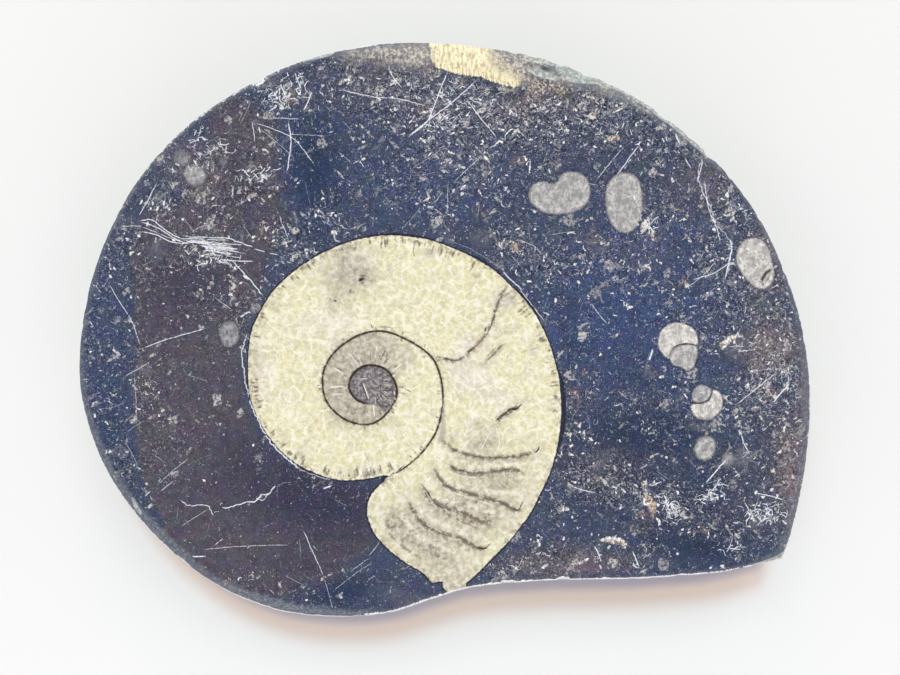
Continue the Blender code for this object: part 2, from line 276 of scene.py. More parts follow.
# Soft patches: centre x, centre y, radius x, radius y, turn in degrees, strength.
TAUPE_PATCHES = [
    (450, 578, 60, 44, 0, 0.8), (402, 530, 60, 66, 30, 0.45), (475, 520, 90, 50, 20, 0.45),
    (352, 272, 52, 46, 0, 0.45), (506, 300, 22, 18, 0, 0.5), (500, 470, 70, 40, 0, 0.3),
    (256, 370, 20, 90, 0, 0.25), (480, 440, 40, 26, 0, 0.35), (480, 340, 40, 26, 40, 0.25),
]
GREY_PATCHES = [
    (342, 385, 40, 62, 0, 0.3), (365, 350, 52, 28, 0, 0.15), (362, 424, 48, 20, 0, 0.3),
    (384, 408, 14, 9, 0, 0.8), (470, 500, 100, 64, 20, 0.25), (366, 384, 66, 62, 0, 0.25),
    (334, 385, 14, 50, 0, 0.2), (350, 414, 34, 12, 25, 0.4), (352, 352, 34, 14, -35, 0.25),
    (385, 346, 34, 10, 15, 0.25), (375, 416, 30, 10, -10, 0.4), (420, 520, 60, 50, 35, 0.25),
    (470, 540, 60, 20, 25, 0.25), (440, 560, 30, 16, 30, 0.35), (480, 500, 70, 50, 20, 0.34),
    (350, 272, 34, 34, 0, 0.7), (366, 277, 17, 15, 0, 0.5), (340, 300, 22, 17, 0, 0.45),
    (344, 250, 13, 20, 0, 0.35), (330, 283, 20, 26, 0, 0.25), (362, 279, 7, 7, 0, 0.95),
    (351, 291, 5, 4, 0, 0.8), (334, 300, 4.5, 3.5, 0, 0.9), (332, 310, 9, 5, 0, 0.4),
    (428, 252.6, 8, 7, 0, 0.85), (476.5, 275.5, 6.5, 5.5, 0, 0.85), (499, 295, 12, 9, 40, 0.45),
    (511, 302, 10, 9, 0, 0.6), (480, 344, 16, 8, 42, 0.3), (460, 368, 22, 14, 0, 0.25),
    (510, 330, 16, 10, 30, 0.25), (485, 443, 26, 17, 15, 0.75), (452, 440, 14, 10, 60, 0.6),
    (500, 462, 40, 9, 0, 0.4), (470, 463, 26, 6, 5, 0.45), (465, 483, 30, 8, 15, 0.25),
    (505, 484, 22, 12, 0, 0.45), (470, 503, 32, 7, 20, 0.5), (446, 507, 18, 8, 20, 0.55),
    (488, 519, 26, 11, 15, 0.7), (505, 505, 20, 10, 0, 0.35), (393, 523, 14, 12, 20, 1.0),
    (400, 520, 26, 20, 35, 0.5), (412, 533, 22, 12, 35, 0.6), (433, 546, 20, 13, 30, 0.8),
    (442, 556, 20, 9, 20, 0.55), (470, 541, 24, 7, 15, 0.3), (423, 550, 12, 14, 0, 0.4),
    (303, 268, 20, 10, -38, 0.5), (275, 305, 9, 16, 25, 0.55), (262, 324, 7, 8, 0, 0.55),
    (300, 455, 13, 9, 40, 0.55), (283, 440, 8, 10, 0, 0.35), (345, 470, 20, 8, 5, 0.2),
    (256, 360, 9, 30, 5, 0.3), (536, 350, 14, 8, 70, 0.35), (548, 470, 8, 26, 15, 0.35),
    (470, 425, 9, 7, 0, 0.4), (525, 440, 14, 10, 0, 0.3), (435, 250, 10, 8, 0, 0.3),
]
PINK_PATCHES = [
    (335, 330, 60, 50, 0, 0.35), (470, 380, 50, 40, 0, 0.5), (350, 265, 50, 30, 0, 0.6),
    (262, 375, 16, 50, 0, 0.55), (540, 500, 30, 40, 20, 0.4), (285, 400, 18, 16, 0, 0.3),
    (500, 400, 34, 30, 0, 0.3), (430, 520, 50, 50, 0, 0.35), (470, 350, 40, 20, 30, 0.45),
    (505, 300, 16, 14, 0, 0.6), (360, 470, 40, 12, 0, 0.35), (300, 320, 24, 20, 0, 0.25),
]
WARM_PATCHES = [
    (770, 345, 50, 42, 0, 1.0), (790, 470, 36, 100, 8, 1.0), (745, 480, 26, 36, 0, 0.25),
    (556, 562, 110, 24, 2, 1.0), (700, 180, 60, 40, 30, 0.3), (540, 100, 110, 34, 10, 0.35),
    (370, 85, 80, 30, -8, 0.35), (560, 440, 14, 60, 0, 0.3), (590, 240, 14, 26, 0, 0.3),
]
# bluish painted reflections of the room in the polish
BLUE_REFLECTION_PATCHES = [
    (620, 310, 150, 130, 0, 1.0), (440, 180, 130, 70, 0, 0.6), (312, 170, 50, 100, 0, 0.7),
    (105, 360, 40, 200, 0, 0.45), (660, 230, 90, 40, 0, 0.4), (700, 400, 60, 60, 0, 0.5),
]
DEEP_PATCHES = [
    (314, 168, 46, 96, 4, 0.95), (640, 432, 110, 40, 0, 1.0), (700, 545, 90, 30, -4, 1.0),
    (600, 500, 70, 50, 0, 0.3), (338, 592, 64, 26, 2, 0.9), (700, 480, 70, 60, 0, 0.55),
    (110, 420, 26, 90, 0, 0.35), (640, 380, 60, 40, 0, 0.35), (310, 240, 30, 30, 0, 0.4),
    (120, 480, 26, 40, 0, 0.4), (570, 330, 16, 90, 0, 0.3),
]
DUSK_PATCHES = [
    (612, 470, 80, 50, 0, 0.7), (690, 515, 110, 50, 0, 0.45), (340, 510, 110, 60, 0, 0.95),
    (290, 480, 90, 60, 0, 0.7), (240, 450, 60, 40, 0, 0.45), (300, 570, 80, 40, 0, 0.4),
    (240, 190, 44, 64, 0, 0.45), (220, 490, 80, 40, 0, 0.25), (190, 285, 80, 66, 0, 0.6),
    (170, 215, 50, 40, 0, 0.3),
]
# painted pale sheen: the room's reflection veiling the polish
SHEEN_HAZE_PATCHES = [
    (402, 598, 44, 14, -12, 0.4), (794, 480, 24, 76, 5, 1.0), (768, 348, 44, 36, 0, 1.0),
    (803, 400, 12, 90, 0, 0.7), (190, 166, 54, 40, -35, 0.58), (540, 100, 150, 40, 8, 0.22),
    (710, 180, 60, 50, 40, 0.3), (640, 250, 60, 30, 0, 0.18), (290, 92, 40, 20, -15, 0.3),
    (390, 72, 90, 20, 0, 0.3), (440, 110, 60, 40, 0, 0.1), (570, 566, 110, 16, 3, 0.5),
    (775, 225, 30, 60, -30, 0.62), (760, 395, 30, 40, 0, 0.2), (470, 160, 80, 40, 0, 0.1),
    (770, 280, 30, 60, -20, 0.4), (170, 215, 50, 30, -30, 0.2), (600, 470, 50, 40, 0, 0.1),
    (745, 505, 30, 20, 0, 0.15),
]
# where the matrix is full of broken shell, and where it is clean
HASH_PATCHES = [
    (540, 112, 220, 60, 8, 0.72), (380, 90, 110, 46, -6, 0.56), (660, 130, 110, 60, -30, 0.36),
    (470, 180, 110, 70, 0, 0.24), (690, 506, 120, 56, 0, 0.22), (790, 440, 50, 150, 5, 0.4),
    (560, 560, 120, 26, 4, 0.3), (610, 480, 70, 56, 0, 0.36), (735, 260, 70, 130, 0, 0.52),
    (200, 175, 70, 50, -35, 0.5), (285, 95, 50, 30, -20, 0.44), (290, 245, 50, 24, -30, 0.45),
    (160, 245, 60, 40, 0, 0.25), (572, 420, 14, 90, 0, 0.5), (525, 250, 60, 40, -30, 0.45),
    (640, 400, 60, 60, 0, 0.15), (108, 330, 26, 140, 0, 0.05), (770, 360, 40, 60, 0, 0.62),
    (748, 405, 44, 30, 0, 0.45), (650, 200, 70, 50, 0, 0.36), (620, 270, 80, 60, 0, 0.22),
    (660, 340, 60, 60, 0, 0.1),
]
BARE_PATCHES = [
    (310, 530, 170, 80, 0, 0.8), (215, 520, 120, 80, 0, 0.6), (380, 590, 100, 26, 0, 0.4),
    (600, 430, 60, 40, 0, 0.15), (240, 420, 90, 90, 0, 0.45), (312, 165, 40, 80, 0, 0.4),
    (620, 350, 50, 60, 0, 0.3), (180, 330, 60, 90, 0, 0.3), (230, 150, 30, 40, 0, 0.2),
    (660, 440, 80, 30, 0, 0.25), (710, 548, 70, 18, 0, 0.35),
]
# where the shell's dark wall is wider
WALL_BAND_PATCHES = [
    (566, 410, 16, 75, 0, 1.0), (530, 300, 26, 50, -40, 0.55), (480, 262, 60, 20, 28, 0.4),
    (400, 236, 60, 10, 0, 0.45), (412, 470, 26, 12, -35, 0.45),
]
# on the upper bevel and beside it
STREAKY_PATCHES = [
    (417, 55, 26, 22, 0, 1.3), (508, 62, 30, 18, -18, 1.5), (526, 74, 18, 18, 0, 1.3),
    (390, 54, 34, 18, 0, 1.1), (360, 54, 30, 14, 0, 0.7), (505, 50, 24, 12, -20, 1.4),
    (536, 60, 22, 14, -22, 1.3), (560, 76, 20, 10, -20, 1.0), (604, 86, 26, 6, -28, 0.9),
    (640, 106, 26, 5, -36, 0.6),
]
BEIGE_PATCHES = [
    (545, 84, 24, 12, 20, 0.9), (562, 90, 18, 12, 0, 0.8), (534, 90, 12, 14, 0, 0.7),
    (600, 93, 18, 9, 30, 0.7), (350, 62, 16, 5, 20, 0.3), (430, 72, 14, 9, -30, 0.7),
    (552, 76, 14, 8, 0, 0.8), (460, 84, 12, 8, 40, 0.5),
]
BLACK_PATCHES = [
    (531, 64, 9, 3.0, -12, 1.1), (545, 67.5, 10, 3.2, -18, 1.2), (558, 73, 8, 3.0, -25, 1.1),
    (566, 96, 14, 5, 20, 0.8), (600, 96, 16, 4, -28, 0.6), (500, 92, 22, 6, -14, 0.8),
    (470, 80, 16, 5, -8, 0.5), (418, 68, 14, 4, -10, 0.4),
]
ORANGE_SPOTS = [
    (649, 505, 9, 18, -20, 0.35), (706, 529, 8, 6, 0, 0.5), (684, 283, 8, 7, 0, 0.4),
    (653, 237, 10, 8, 0, 0.45), (515, 247, 6, 8, 20, 0.8), (586, 373, 9, 5, 0, 0.5),
    (530, 100, 30, 10, 20, 0.3), (594, 478, 8, 6, 0, 0.4), (594, 240, 12, 20, 0, 0.35),
    (642, 517, 7, 6, 0, 0.5), (770, 393, 10, 8, 0, 0.45), (518, 162, 12, 8, 0, 0.4),
    (620, 188, 20, 14, 0, 0.1), (430, 110, 30, 20, 0, 0.2), (480, 215, 14, 10, 0, 0.3),
    (575, 396, 8, 20, 0, 0.45), (290, 99, 12, 12, 0, 0.45),
]
PATCH_LAYERS = {
    "grey": GREY_PATCHES, "pink": PINK_PATCHES, "warm": WARM_PATCHES, "blue": BLUE_REFLECTION_PATCHES,
    "deep": DEEP_PATCHES, "dusk": DUSK_PATCHES, "streaky": STREAKY_PATCHES, "hash": HASH_PATCHES,
    "bare": BARE_PATCHES, "band": WALL_BAND_PATCHES, "sheen_haze": SHEEN_HAZE_PATCHES, "beige": BEIGE_PATCHES,
    "black": BLACK_PATCHES, "orange": ORANGE_SPOTS,
}

# crisp-edged areas of the face and of its bevel; the brown area and the navy strip are painted reflections
# of the room in the polish
BROWN_REFLECTION_AREA = [
    (218, 92), (262, 112), (274, 140), (280, 180), (284, 222), (268, 262), (262, 300), (246, 330),
    (246, 400), (262, 440), (300, 478), (345, 486), (372, 505), (372, 540), (352, 566), (318, 584),
    (270, 600), (220, 590), (178, 556), (150, 515), (132, 470), (130, 300), (134, 236), (150, 215),
    (182, 200), (206, 160), (206, 120),
]
NAVY_REFLECTION_STRIP = [
    (60, 225), (122, 226), (130, 250), (134, 290), (135, 360), (134, 410), (137, 440), (141, 464),
    (146, 486), (154, 505), (166, 524), (120, 560), (50, 500),
]
# the painted warm highlight of the lamp on the top bevel
PAINTED_GLINT_AREA = [
    (428, 34), (430, 50), (434, 65.5), (445.5, 70), (459, 74.5), (479.6, 76.8), (491, 81), (503, 84.8),
    (516, 87), (523, 80), (519, 70), (509, 62), (500, 54), (493, 46), (486, 34),
]
# pale broken edges, partly painted sheen of the light on the bevel: outline, strength
PALE_CHIP_AND_SHEEN_AREAS = [
    ([(558, 50), (568, 54), (582, 62), (603, 73), (622, 83), (648, 97), (667, 110), (684, 124), (704, 142),
      (716, 158), (707, 156.5), (697, 148.5), (687, 140), (677, 131), (665, 121), (651, 110.5),
      (637, 100.5), (622, 91.5), (606, 85), (592, 83), (578, 83), (568, 81), (561, 76), (556, 68)], 1.0),
    ([(744, 569), (754, 564), (766, 560), (777, 556), (784, 552), (790, 555), (784, 566), (766, 572),
      (750, 574)], 1.0), ([(129, 492), (134, 495), (140, 505), (144, 513), (140, 518), (131, 508)], 0.3),
    ([(284, 62), (300, 61), (318, 59.5), (334, 54), (330, 44), (300, 48), (280, 58)], 0.8),
    ([(517, 44), (530, 46), (545, 50), (556, 58), (554, 65), (542, 62), (528, 59)], 0.8),
    ([(529, 69), (538, 68), (550, 72), (560, 78), (556, 81), (545, 79), (533, 75)], 0.9),
]
# small fossils: outline, tone from grey to cream, softness of the edge
SMALL_FOSSILS = [
    # upper ovals
    ([(529, 194), (532, 186), (538, 182), (546, 182), (553, 184), (558, 181), (562, 174), (570, 172),
      (579, 173), (586, 178), (590, 188), (589, 198), (585, 205), (578, 210), (568, 213), (556, 214),
      (544, 212), (535, 206), (530, 200)], 0.62, 1.0), ([(606, 190), (610, 181), (617, 175), (627, 173),
                                                         (635, 176), (640, 184), (642, 196), (642, 210),
                                                         (639, 222), (633, 230), (625, 233), (616, 229),
                                                         (610, 220), (606, 206)], 0.62, 1.0),
    # oval at the rim
    ([(736, 258), (739, 247), (746, 240), (754, 238), (763, 241), (769, 250), (772, 262), (774, 274),
      (771, 284), (763, 289), (754, 286), (746, 278), (739, 268)], 0.86, 0.8),
    # upper snail: a bright upper-left part and a duller lower part, painted shading of its rounded form
    ([(658, 341), (661, 331), (668, 325), (677, 322.5), (687, 325), (695, 331), (698, 341), (697, 345),
      (690, 343.5), (683, 343.5), (676, 346), (671, 352), (669.5, 359), (663, 354), (659, 348)], 1.0, 0.5),
    ([(670, 358), (672, 351), (677, 346.5), (684, 344.8), (691, 345), (697, 347), (697, 356), (695, 363),
      (691, 369), (686, 371), (682, 367), (677, 366), (672, 364)], 0.66, 0.6),
    # lower snail
    ([(690, 405), (695, 403.6), (702, 404), (709, 401), (712, 394), (713, 390), (718, 391), (722, 397),
      (722.5, 404), (720, 411), (714, 417), (706, 420), (698, 418), (693, 413)], 0.95, 0.5),
    ([(692, 396), (694, 389), (700, 385), (706, 386), (711, 390), (710.5, 396), (706, 401), (699, 402.5),
      (693, 401)], 0.55, 0.7), ([(689, 422), (700, 424), (712, 421), (711, 428), (702, 432), (692, 429)],
                                0.05, 2.2),
    # discs below the snails
    ([(694, 449), (697, 441), (703, 437), (711, 437), (715, 442), (715, 450), (711, 457), (704, 460),
      (697, 457)], 0.55, 1.1), ([(721, 458), (726, 453), (732, 454), (734, 460), (730, 466), (723, 465)],
                                0.3, 1.8), ([(736, 452), (742, 447), (748, 450), (750, 459), (746, 467),
                                             (739, 466), (735, 460)], 0.12, 2.6),
    # oval at the left
    ([(220, 336), (220, 328), (226, 322), (233, 322), (238, 328), (239, 336), (236, 344), (229, 347),
      (223, 344)], 0.3, 1.2),
    # discs at the upper left
    ([(183, 172), (188, 166), (196, 165), (203, 169), (206, 176), (202, 183), (194, 186), (187, 181)], 0.4,
     1.8), ([(173, 157), (178, 151), (186, 152), (190, 158), (186, 165), (178, 164)], 0.25, 2.2),
    # faint ghosts
    ([(146, 249), (150, 240), (158, 237), (166, 241), (168, 250), (163, 259), (154, 261), (148, 256)], 0.0,
     3.2), ([(722, 340), (732, 334), (744, 336), (749, 345), (745, 356), (733, 360), (724, 352)], 0.0, 3.0),
    ([(468, 238), (474, 230), (484, 228), (492, 233), (493, 242), (486, 248), (475, 247)], 0.02, 2.6),
    ([(592, 462), (598, 456), (605, 458), (607, 466), (602, 473), (594, 471)], 0.0, 2.6),
    ([(748, 520), (755, 513), (764, 515), (767, 524), (760, 531), (751, 529)], 0.0, 3.0),
]
# dark lines in them: points, half width, strength
FOSSIL_LINES = [
    # upper snail
    ([(669, 358), (671, 351), (676, 346), (684, 343.8), (691, 344), (698, 346)], 0.9, 0.85),
    ([(679, 360), (684, 355), (690, 354), (696, 356)], 0.8, 0.3),
    ([(682, 366), (688, 362), (694, 363)], 0.8, 0.3),
    # lower snail
    ([(690, 403), (696, 403.5), (703, 402.5), (709, 399), (713, 391)], 0.9, 0.85),
    ([(698, 398), (703, 397), (707, 393), (706, 388)], 0.8, 0.4),
    # oval at the rim
    ([(760, 284), (764, 276), (768, 271), (773, 270)], 3.4, 0.75),
    ([(762, 287), (767, 280), (771, 274)], 2.0, 0.55), ([(753, 259), (754, 261)], 1.3, 0.7),
    ([(755, 264), (757, 267)], 1.6, 0.8),
    # upper oval
    ([(632, 190), (634, 198)], 1.6, 0.3),
    # oval at the left
    ([(226, 329), (228, 337)], 3.2, 0.45),
]

# ---- scratches and broken shell: points, half width, strength ---------------------------
SCRATCHES = [
    ([(252, 121), (255, 143)], 0.8, 0.5), ([(252, 122), (273, 129), (295, 140), (317, 168)], 0.8, 0.5),
    ([(258, 127), (280, 145), (296, 159)], 0.7, 0.35), ([(287, 134), (329, 136)], 0.7, 0.35),
    ([(288, 120), (291, 141), (287, 173)], 1.0, 0.75), ([(273, 118), (300, 119)], 0.8, 0.45),
    ([(295, 72), (298, 82), (302, 91)], 0.9, 0.6), ([(300, 74), (304, 84), (306, 93)], 0.7, 0.45),
    ([(312, 92), (308, 102), (303, 111)], 0.9, 0.7), ([(318, 90), (324, 97)], 0.8, 0.55),
    ([(233, 187), (233, 197)], 1.0, 0.6), ([(248, 183), (259, 173), (269, 182)], 0.8, 0.45),
    ([(279, 215), (284, 228), (289, 240)], 0.8, 0.45), ([(157, 182), (149, 198), (139, 216)], 0.9, 0.6),
    ([(121, 226), (143, 226)], 0.7, 0.45), ([(233, 262), (251, 281), (264, 297)], 0.9, 0.75),
    ([(243, 275), (249, 280)], 1.5, 0.9), ([(108, 282), (117, 298), (126, 312), (133, 324), (141, 348)],
                                           0.7, 0.55), ([(141, 349), (162, 341), (185, 334), (208, 328)],
                                                        0.8, 0.65),
    ([(134, 371), (136, 400), (137, 427)], 0.7, 0.35), ([(124, 377), (138, 369), (151, 361)], 0.7, 0.45),
    ([(192, 557), (206, 556)], 1.0, 0.85), ([(199, 550), (230, 547), (262, 545.5), (292, 545)], 0.6, 0.45),
    ([(214, 546), (223, 538)], 0.7, 0.55), ([(144, 497), (151, 491)], 0.9, 0.65),
    ([(147, 508), (153, 503)], 0.9, 0.65), ([(156, 486), (173, 471), (190, 457)], 0.6, 0.4),
    ([(160, 491), (174, 481)], 0.7, 0.5), ([(180, 527), (194, 518), (208, 509)], 0.6, 0.4),
    ([(303, 529), (315, 557), (324, 577)], 0.7, 0.55), ([(324, 577), (333, 609)], 0.6, 0.35),
    ([(323, 489), (333, 485)], 1.1, 0.8), ([(332, 592), (352, 576), (373, 562)], 0.6, 0.35),
    ([(312, 545), (318, 551)], 0.8, 0.4), ([(449, 68), (441, 88), (434, 106), (427, 122), (407, 138)], 0.9,
                                           0.75), ([(479, 78), (456, 99), (434, 116), (407, 137)], 0.9,
                                                   0.7), ([(388, 66), (393, 77), (402, 88)], 1.0, 0.6),
    ([(336, 88), (355, 93), (374, 97), (399, 99), (430, 107)], 0.9, 0.55),
    ([(466, 99), (479, 116), (497, 138)], 0.8, 0.65), ([(454, 182), (481, 156)], 0.6, 0.45),
    ([(407, 172), (424, 161), (445, 147)], 0.6, 0.3), ([(448, 181), (447, 216)], 0.6, 0.4),
    ([(434, 204), (443, 191)], 0.7, 0.45), ([(700, 154), (702, 163), (697, 183)], 0.9, 0.6),
    ([(704, 179), (709, 210), (717, 229), (721, 245)], 0.8, 0.6), ([(675, 133), (680, 144)], 1.2, 0.85),
    ([(639, 145), (628, 160), (616, 176)], 0.9, 0.6), ([(625, 145), (610, 163), (596, 181)], 0.7, 0.45),
    ([(685, 158), (691, 169)], 0.9, 0.55), ([(644, 219), (649, 226), (655, 233)], 1.2, 0.75),
    ([(730, 238), (732, 248), (730, 257), (725, 279)], 1.1, 0.7),
    ([(732, 261), (722, 268), (712, 274), (692, 280)], 0.8, 0.6),
    ([(591, 303), (597, 312), (607, 324)], 0.8, 0.45), ([(653, 349), (651, 355), (649, 361)], 1.4, 0.85),
    ([(777, 372), (757, 388), (736, 405)], 0.8, 0.6), ([(790, 383), (780, 394), (773, 403)], 1.1, 0.75),
    ([(727, 459), (716, 471), (706, 483)], 1.1, 0.75), ([(569, 484), (579, 489), (596, 493)], 0.9, 0.55),
    ([(755, 493), (770, 496), (784, 500)], 0.9, 0.6), ([(739, 429), (744, 443), (749, 453)], 0.9, 0.65),
    ([(594, 545), (598, 553), (601, 562)], 1.0, 0.65), ([(632, 551), (636, 559), (639, 567)], 1.0, 0.7),
    ([(368, 556), (374, 550), (380, 541)], 0.7, 0.4), ([(350, 572), (362, 563), (370, 558)], 0.7, 0.35),
    ([(519, 240), (534, 246), (543, 256)], 0.7, 0.45), ([(503, 271), (512, 281), (523, 290)], 1.0, 0.65),
    ([(518, 287), (532, 305), (545, 322)], 0.8, 0.45), ([(138.6, 220.7), (152, 220), (160, 226), (173, 235),
                                                         (184, 240)], 0.9, 0.75),
    ([(139, 221), (158, 228), (176, 239), (190, 244)], 0.9, 0.6),
    ([(139.6, 231), (156.8, 235), (171, 241.8), (191, 243.7)], 0.9, 0.65),
    ([(140, 226), (155, 232), (170, 238), (186, 243)], 0.7, 0.45),
    ([(224, 237), (239, 242), (253.4, 247.5)], 0.9, 0.75),
    ([(219, 259), (236, 261), (254.4, 261)], 0.9, 0.7), ([(254, 249), (266, 252)], 0.8, 0.6),
    ([(268, 253), (279, 255)], 0.8, 0.5), ([(191, 233), (201, 226.5), (220, 223.6)], 0.7, 0.35),
    ([(214, 297), (232, 310)], 0.7, 0.4),
]
BRIGHT_CRACKS = [
    ([(701, 160), (698, 177), (703, 192), (710, 207), (715, 224)], 0.9, 0.75),
    ([(715, 224), (725, 234), (731, 245), (730, 262), (725, 281)], 0.8, 0.6),
    ([(715, 262), (705.5, 273), (693, 283), (684, 288)], 0.8, 0.6),
    ([(180, 499), (185, 504), (191, 505.5), (200, 505), (208, 506), (211, 511), (214, 516)], 0.9, 0.8),
    ([(222, 507), (226, 508), (231, 507), (238, 504.5), (246, 503), (252, 501)], 1.0, 0.9),
    ([(250, 502), (256, 501), (262, 495), (268, 494), (272, 490), (276, 486)], 1.2, 0.95),
    ([(256, 498), (262, 500), (268, 495)], 0.9, 0.75), ([(276, 488), (284, 483), (292, 482)], 0.6, 0.4),
]
WALL_CHIPPING = [
    ([(247, 333), (244, 345), (242, 351), (242, 358), (244, 370), (244.5, 377), (246, 386), (249, 398)],
     1.0, 0.8), ([(249, 398), (252, 407), (256, 416), (264, 432), (270, 441), (276, 448)], 1.1, 0.85),
    ([(272, 444), (280, 452), (289, 460), (296, 466), (300, 469.5)], 1.3, 0.95),
    ([(300, 469.5), (306, 472), (311, 474), (320, 477), (331, 480.5)], 0.9, 0.55),
    ([(240, 318), (247, 313), (252, 312)], 1.4, 0.9), ([(254, 300), (262, 298)], 0.9, 0.5),
    ([(333, 231), (336, 240), (341, 242)], 1.6, 0.6), ([(286, 262), (292, 263)], 1.4, 0.6),
    ([(449, 241), (470, 249), (492, 262), (508, 275)], 0.7, 0.4),
]
BIG_FLAKES = [
    ([(600, 541), (608, 538), (618, 539), (628, 542)], 2.2, 0.8),
    ([(482, 154), (486, 158), (490, 163)], 1.7, 0.8), ([(617, 105), (622, 103), (628, 101)], 1.8, 0.55),
    ([(610, 113), (617, 111), (624, 107)], 1.8, 0.6), ([(727, 343), (730, 338), (737, 336)], 2.2, 0.7),
    ([(722, 348), (727, 344), (726, 338)], 1.8, 0.8), ([(640, 232), (644, 222), (650, 231)], 1.5, 0.8),
    ([(650, 487), (656, 484), (663, 481)], 1.3, 0.55), ([(330, 236), (334, 231), (338, 236)], 2.2, 0.7),
    ([(584, 98), (590, 97), (597, 100)], 1.6, 0.6), ([(503, 139), (509, 131), (516, 128)], 1.5, 0.55),
    ([(524, 168), (530, 161), (529, 176)], 1.6, 0.6), ([(565, 236), (571, 232), (578, 236)], 1.5, 0.5),
    ([(676, 224), (683, 219), (690, 221)], 1.4, 0.5),
]
# tan and cream fragments: outline, tone from tan to cream
TAN_BITS = [
    ([(643, 490), (648, 493), (654, 500), (657, 505), (655, 514), (652, 525), (650, 512), (646, 503)],
     0.35), ([(703, 527), (706, 526), (708, 529), (705, 532)], 0.25),
    ([(649, 233), (652, 231), (656, 235), (652, 239)], 0.35), ([(683, 280), (686, 279), (685, 285)], 0.45),
    ([(512, 243), (517, 242), (519, 248), (515, 250)], 0.2),
    ([(596, 540), (606, 537), (618, 538), (630, 543), (624, 546), (608, 543)], 0.9),
    ([(605, 138), (612, 135), (623, 135), (618, 140), (608, 142)], 0.55),
    ([(588, 113), (595, 112), (598, 116), (592, 120), (588, 117)], 0.95),
    ([(640, 231), (643, 222), (649, 217), (648, 228), (644, 233)], 0.85),
    ([(719, 344), (728, 336), (740, 333), (735, 339), (727, 346), (722, 352)], 0.85),
    ([(768, 468), (773, 467), (778, 471), (773, 474)], 0.85),
    ([(734, 378), (738, 375), (742, 379), (737, 382)], 0.85), ([(584, 370), (588, 371), (587, 375)], 0.3),
    ([(640, 482), (646, 480), (648, 485), (642, 486)], 0.7),
    ([(516, 160), (520, 158), (521, 164), (517, 165)], 0.6),
    ([(482, 154), (486, 156), (490, 163), (485, 161)], 0.8), ([(757, 385), (761, 384), (761, 388)], 0.9),
    ([(771, 396), (776, 393), (778, 397), (773, 400)], 0.9), ([(727, 396), (731, 395), (730, 398)], 0.9),
]
# scuffs: centre x, centre y, radius x, radius y, heading in degrees, strength
SCRIBBLES = [
    (214, 146, 18, 12, -30, 0.6), (196, 142, 10, 10, 40, 0.5), (262, 176, 10, 8, 30, 0.75),
    (662, 503, 14, 10, -40, 0.75), (672, 519, 9, 9, 20, 0.7), (716, 497, 10, 8, 70, 0.75),
    (700, 500, 12, 7, 20, 0.55), (750, 516, 12, 10, 70, 0.65), (768, 508, 12, 10, -20, 0.5),
    (732, 548, 14, 8, 50, 0.45), (250, 172, 18, 8, -25, 0.6), (283, 98, 10, 16, 75, 0.7),
    (300, 94, 6, 14, 70, 0.6), (735, 200, 12, 26, -60, 0.25), (760, 210, 12, 20, -60, 0.25),
    (785, 380, 16, 24, 50, 0.22), (770, 410, 20, 12, 30, 0.22), (740, 345, 12, 14, 50, 0.45),
    (480, 100, 24, 14, 0, 0.35), (445, 92, 14, 14, 0, 0.45), (196, 166, 16, 10, 0, 0.35),
    (668, 508, 12, 13, 60, 0.7), (713, 495, 11, 11, 30, 0.65), (764, 515, 18, 13, 45, 0.5),
    (205, 255, 22, 12, -15, 0.7), (222, 262, 16, 8, -10, 0.6), (754, 385, 14, 12, 40, 0.35),
    (275, 100, 18, 16, 40, 0.55), (440, 120, 30, 16, 20, 0.4), (650, 225, 8, 12, 60, 0.5),
    (160, 210, 16, 16, 50, 0.35), (640, 500, 10, 20, 60, 0.3), (745, 455, 12, 8, 50, 0.25),
    (590, 430, 12, 30, 90, 0.2), (320, 215, 26, 10, -30, 0.3), (300, 250, 22, 8, -35, 0.35),
]
# kind, how many, half width, half length, strength
FLAKE_KINDS = [
    ("flake", 130, (1.0, 2.6), (2.5, 7.0), (0.15, 0.55)),
    ("flake", 260, (0.8, 1.8), (0.8, 3.2), (0.12, 0.6)),
    ("scratch", 220, (0.5, 0.9), (0.6, 2.6), (0.35, 1.0)),
    ("chip", 330, (0.8, 2.0), (0.3, 2.4), (0.4, 0.95)),
]
SCRATCH_FAN_FROM = [(176, 236), (180, 240), (188, 243), (195, 247), (200, 252)]
SCRATCH_FAN_TO = [(226, 237), (240, 243), (254, 249), (257, 256), (250, 264)]
SCRATCH_FAN_COUNT = 40
SCRATCH_FAN_SEED = 21
FLAKE_SEED = 5
HAIRLINES = 260
OUTER_TICKS = 190
INNER_TICKS = 200
FIRST_TURN_RAYS = 70
CENTRE_RAYS = 34
SCUFF_AREA = 8.5            # square pixels of a scribble for each of its scuffs
NICK_AREA = 60.0            # and for each of its nicks

# ---- mesh ---------------------------------------------------------------------------
RIM_SPLITS = 5              # stations added for each of the solid's
PROFILE_STEPS = (1, 1, 3, 5, 3, 4, 4)     # levels between the wall's rings
FACE_SPACING = 0.67         # millimetres between the face's grid points
SHELL_SPACING = 0.72        # of the face's spacing
BACK_SPACING = 2.4
GRID_SHAKE = 0.12           # of the spacing
GRID_SEED = 2
PATH_STEP = 3.2             # pixels between a line's mesh points
CURVE_STEPS = 8             # steps of a curve between two of its points
BATCH = 400000              # distances worked out at a time
GROOVE_DEPTH = 0.018 * MM   # of the scratches
SHARP_ANGLE = math.radians(34.0)
FAR_OUTSIDE = -9.0          # a distance in millimetres that is outside any area
COLOUR_DEPTH = 2.4 * MM     # below the face: where the bevel's colours begin to fade
COLOUR_FADE = 1.2 * MM

# ---- map: parts of the square -------------------------------------------------------
MAP_FACE = 0.86
MAP_BACK = 0.37
MAP_MARGIN = 0.006
MAP_STRIPS = 4
STRIP_LEFT = 0.40
STRIP_WIDTH = 0.585
STRIP_HEIGHT = 0.072

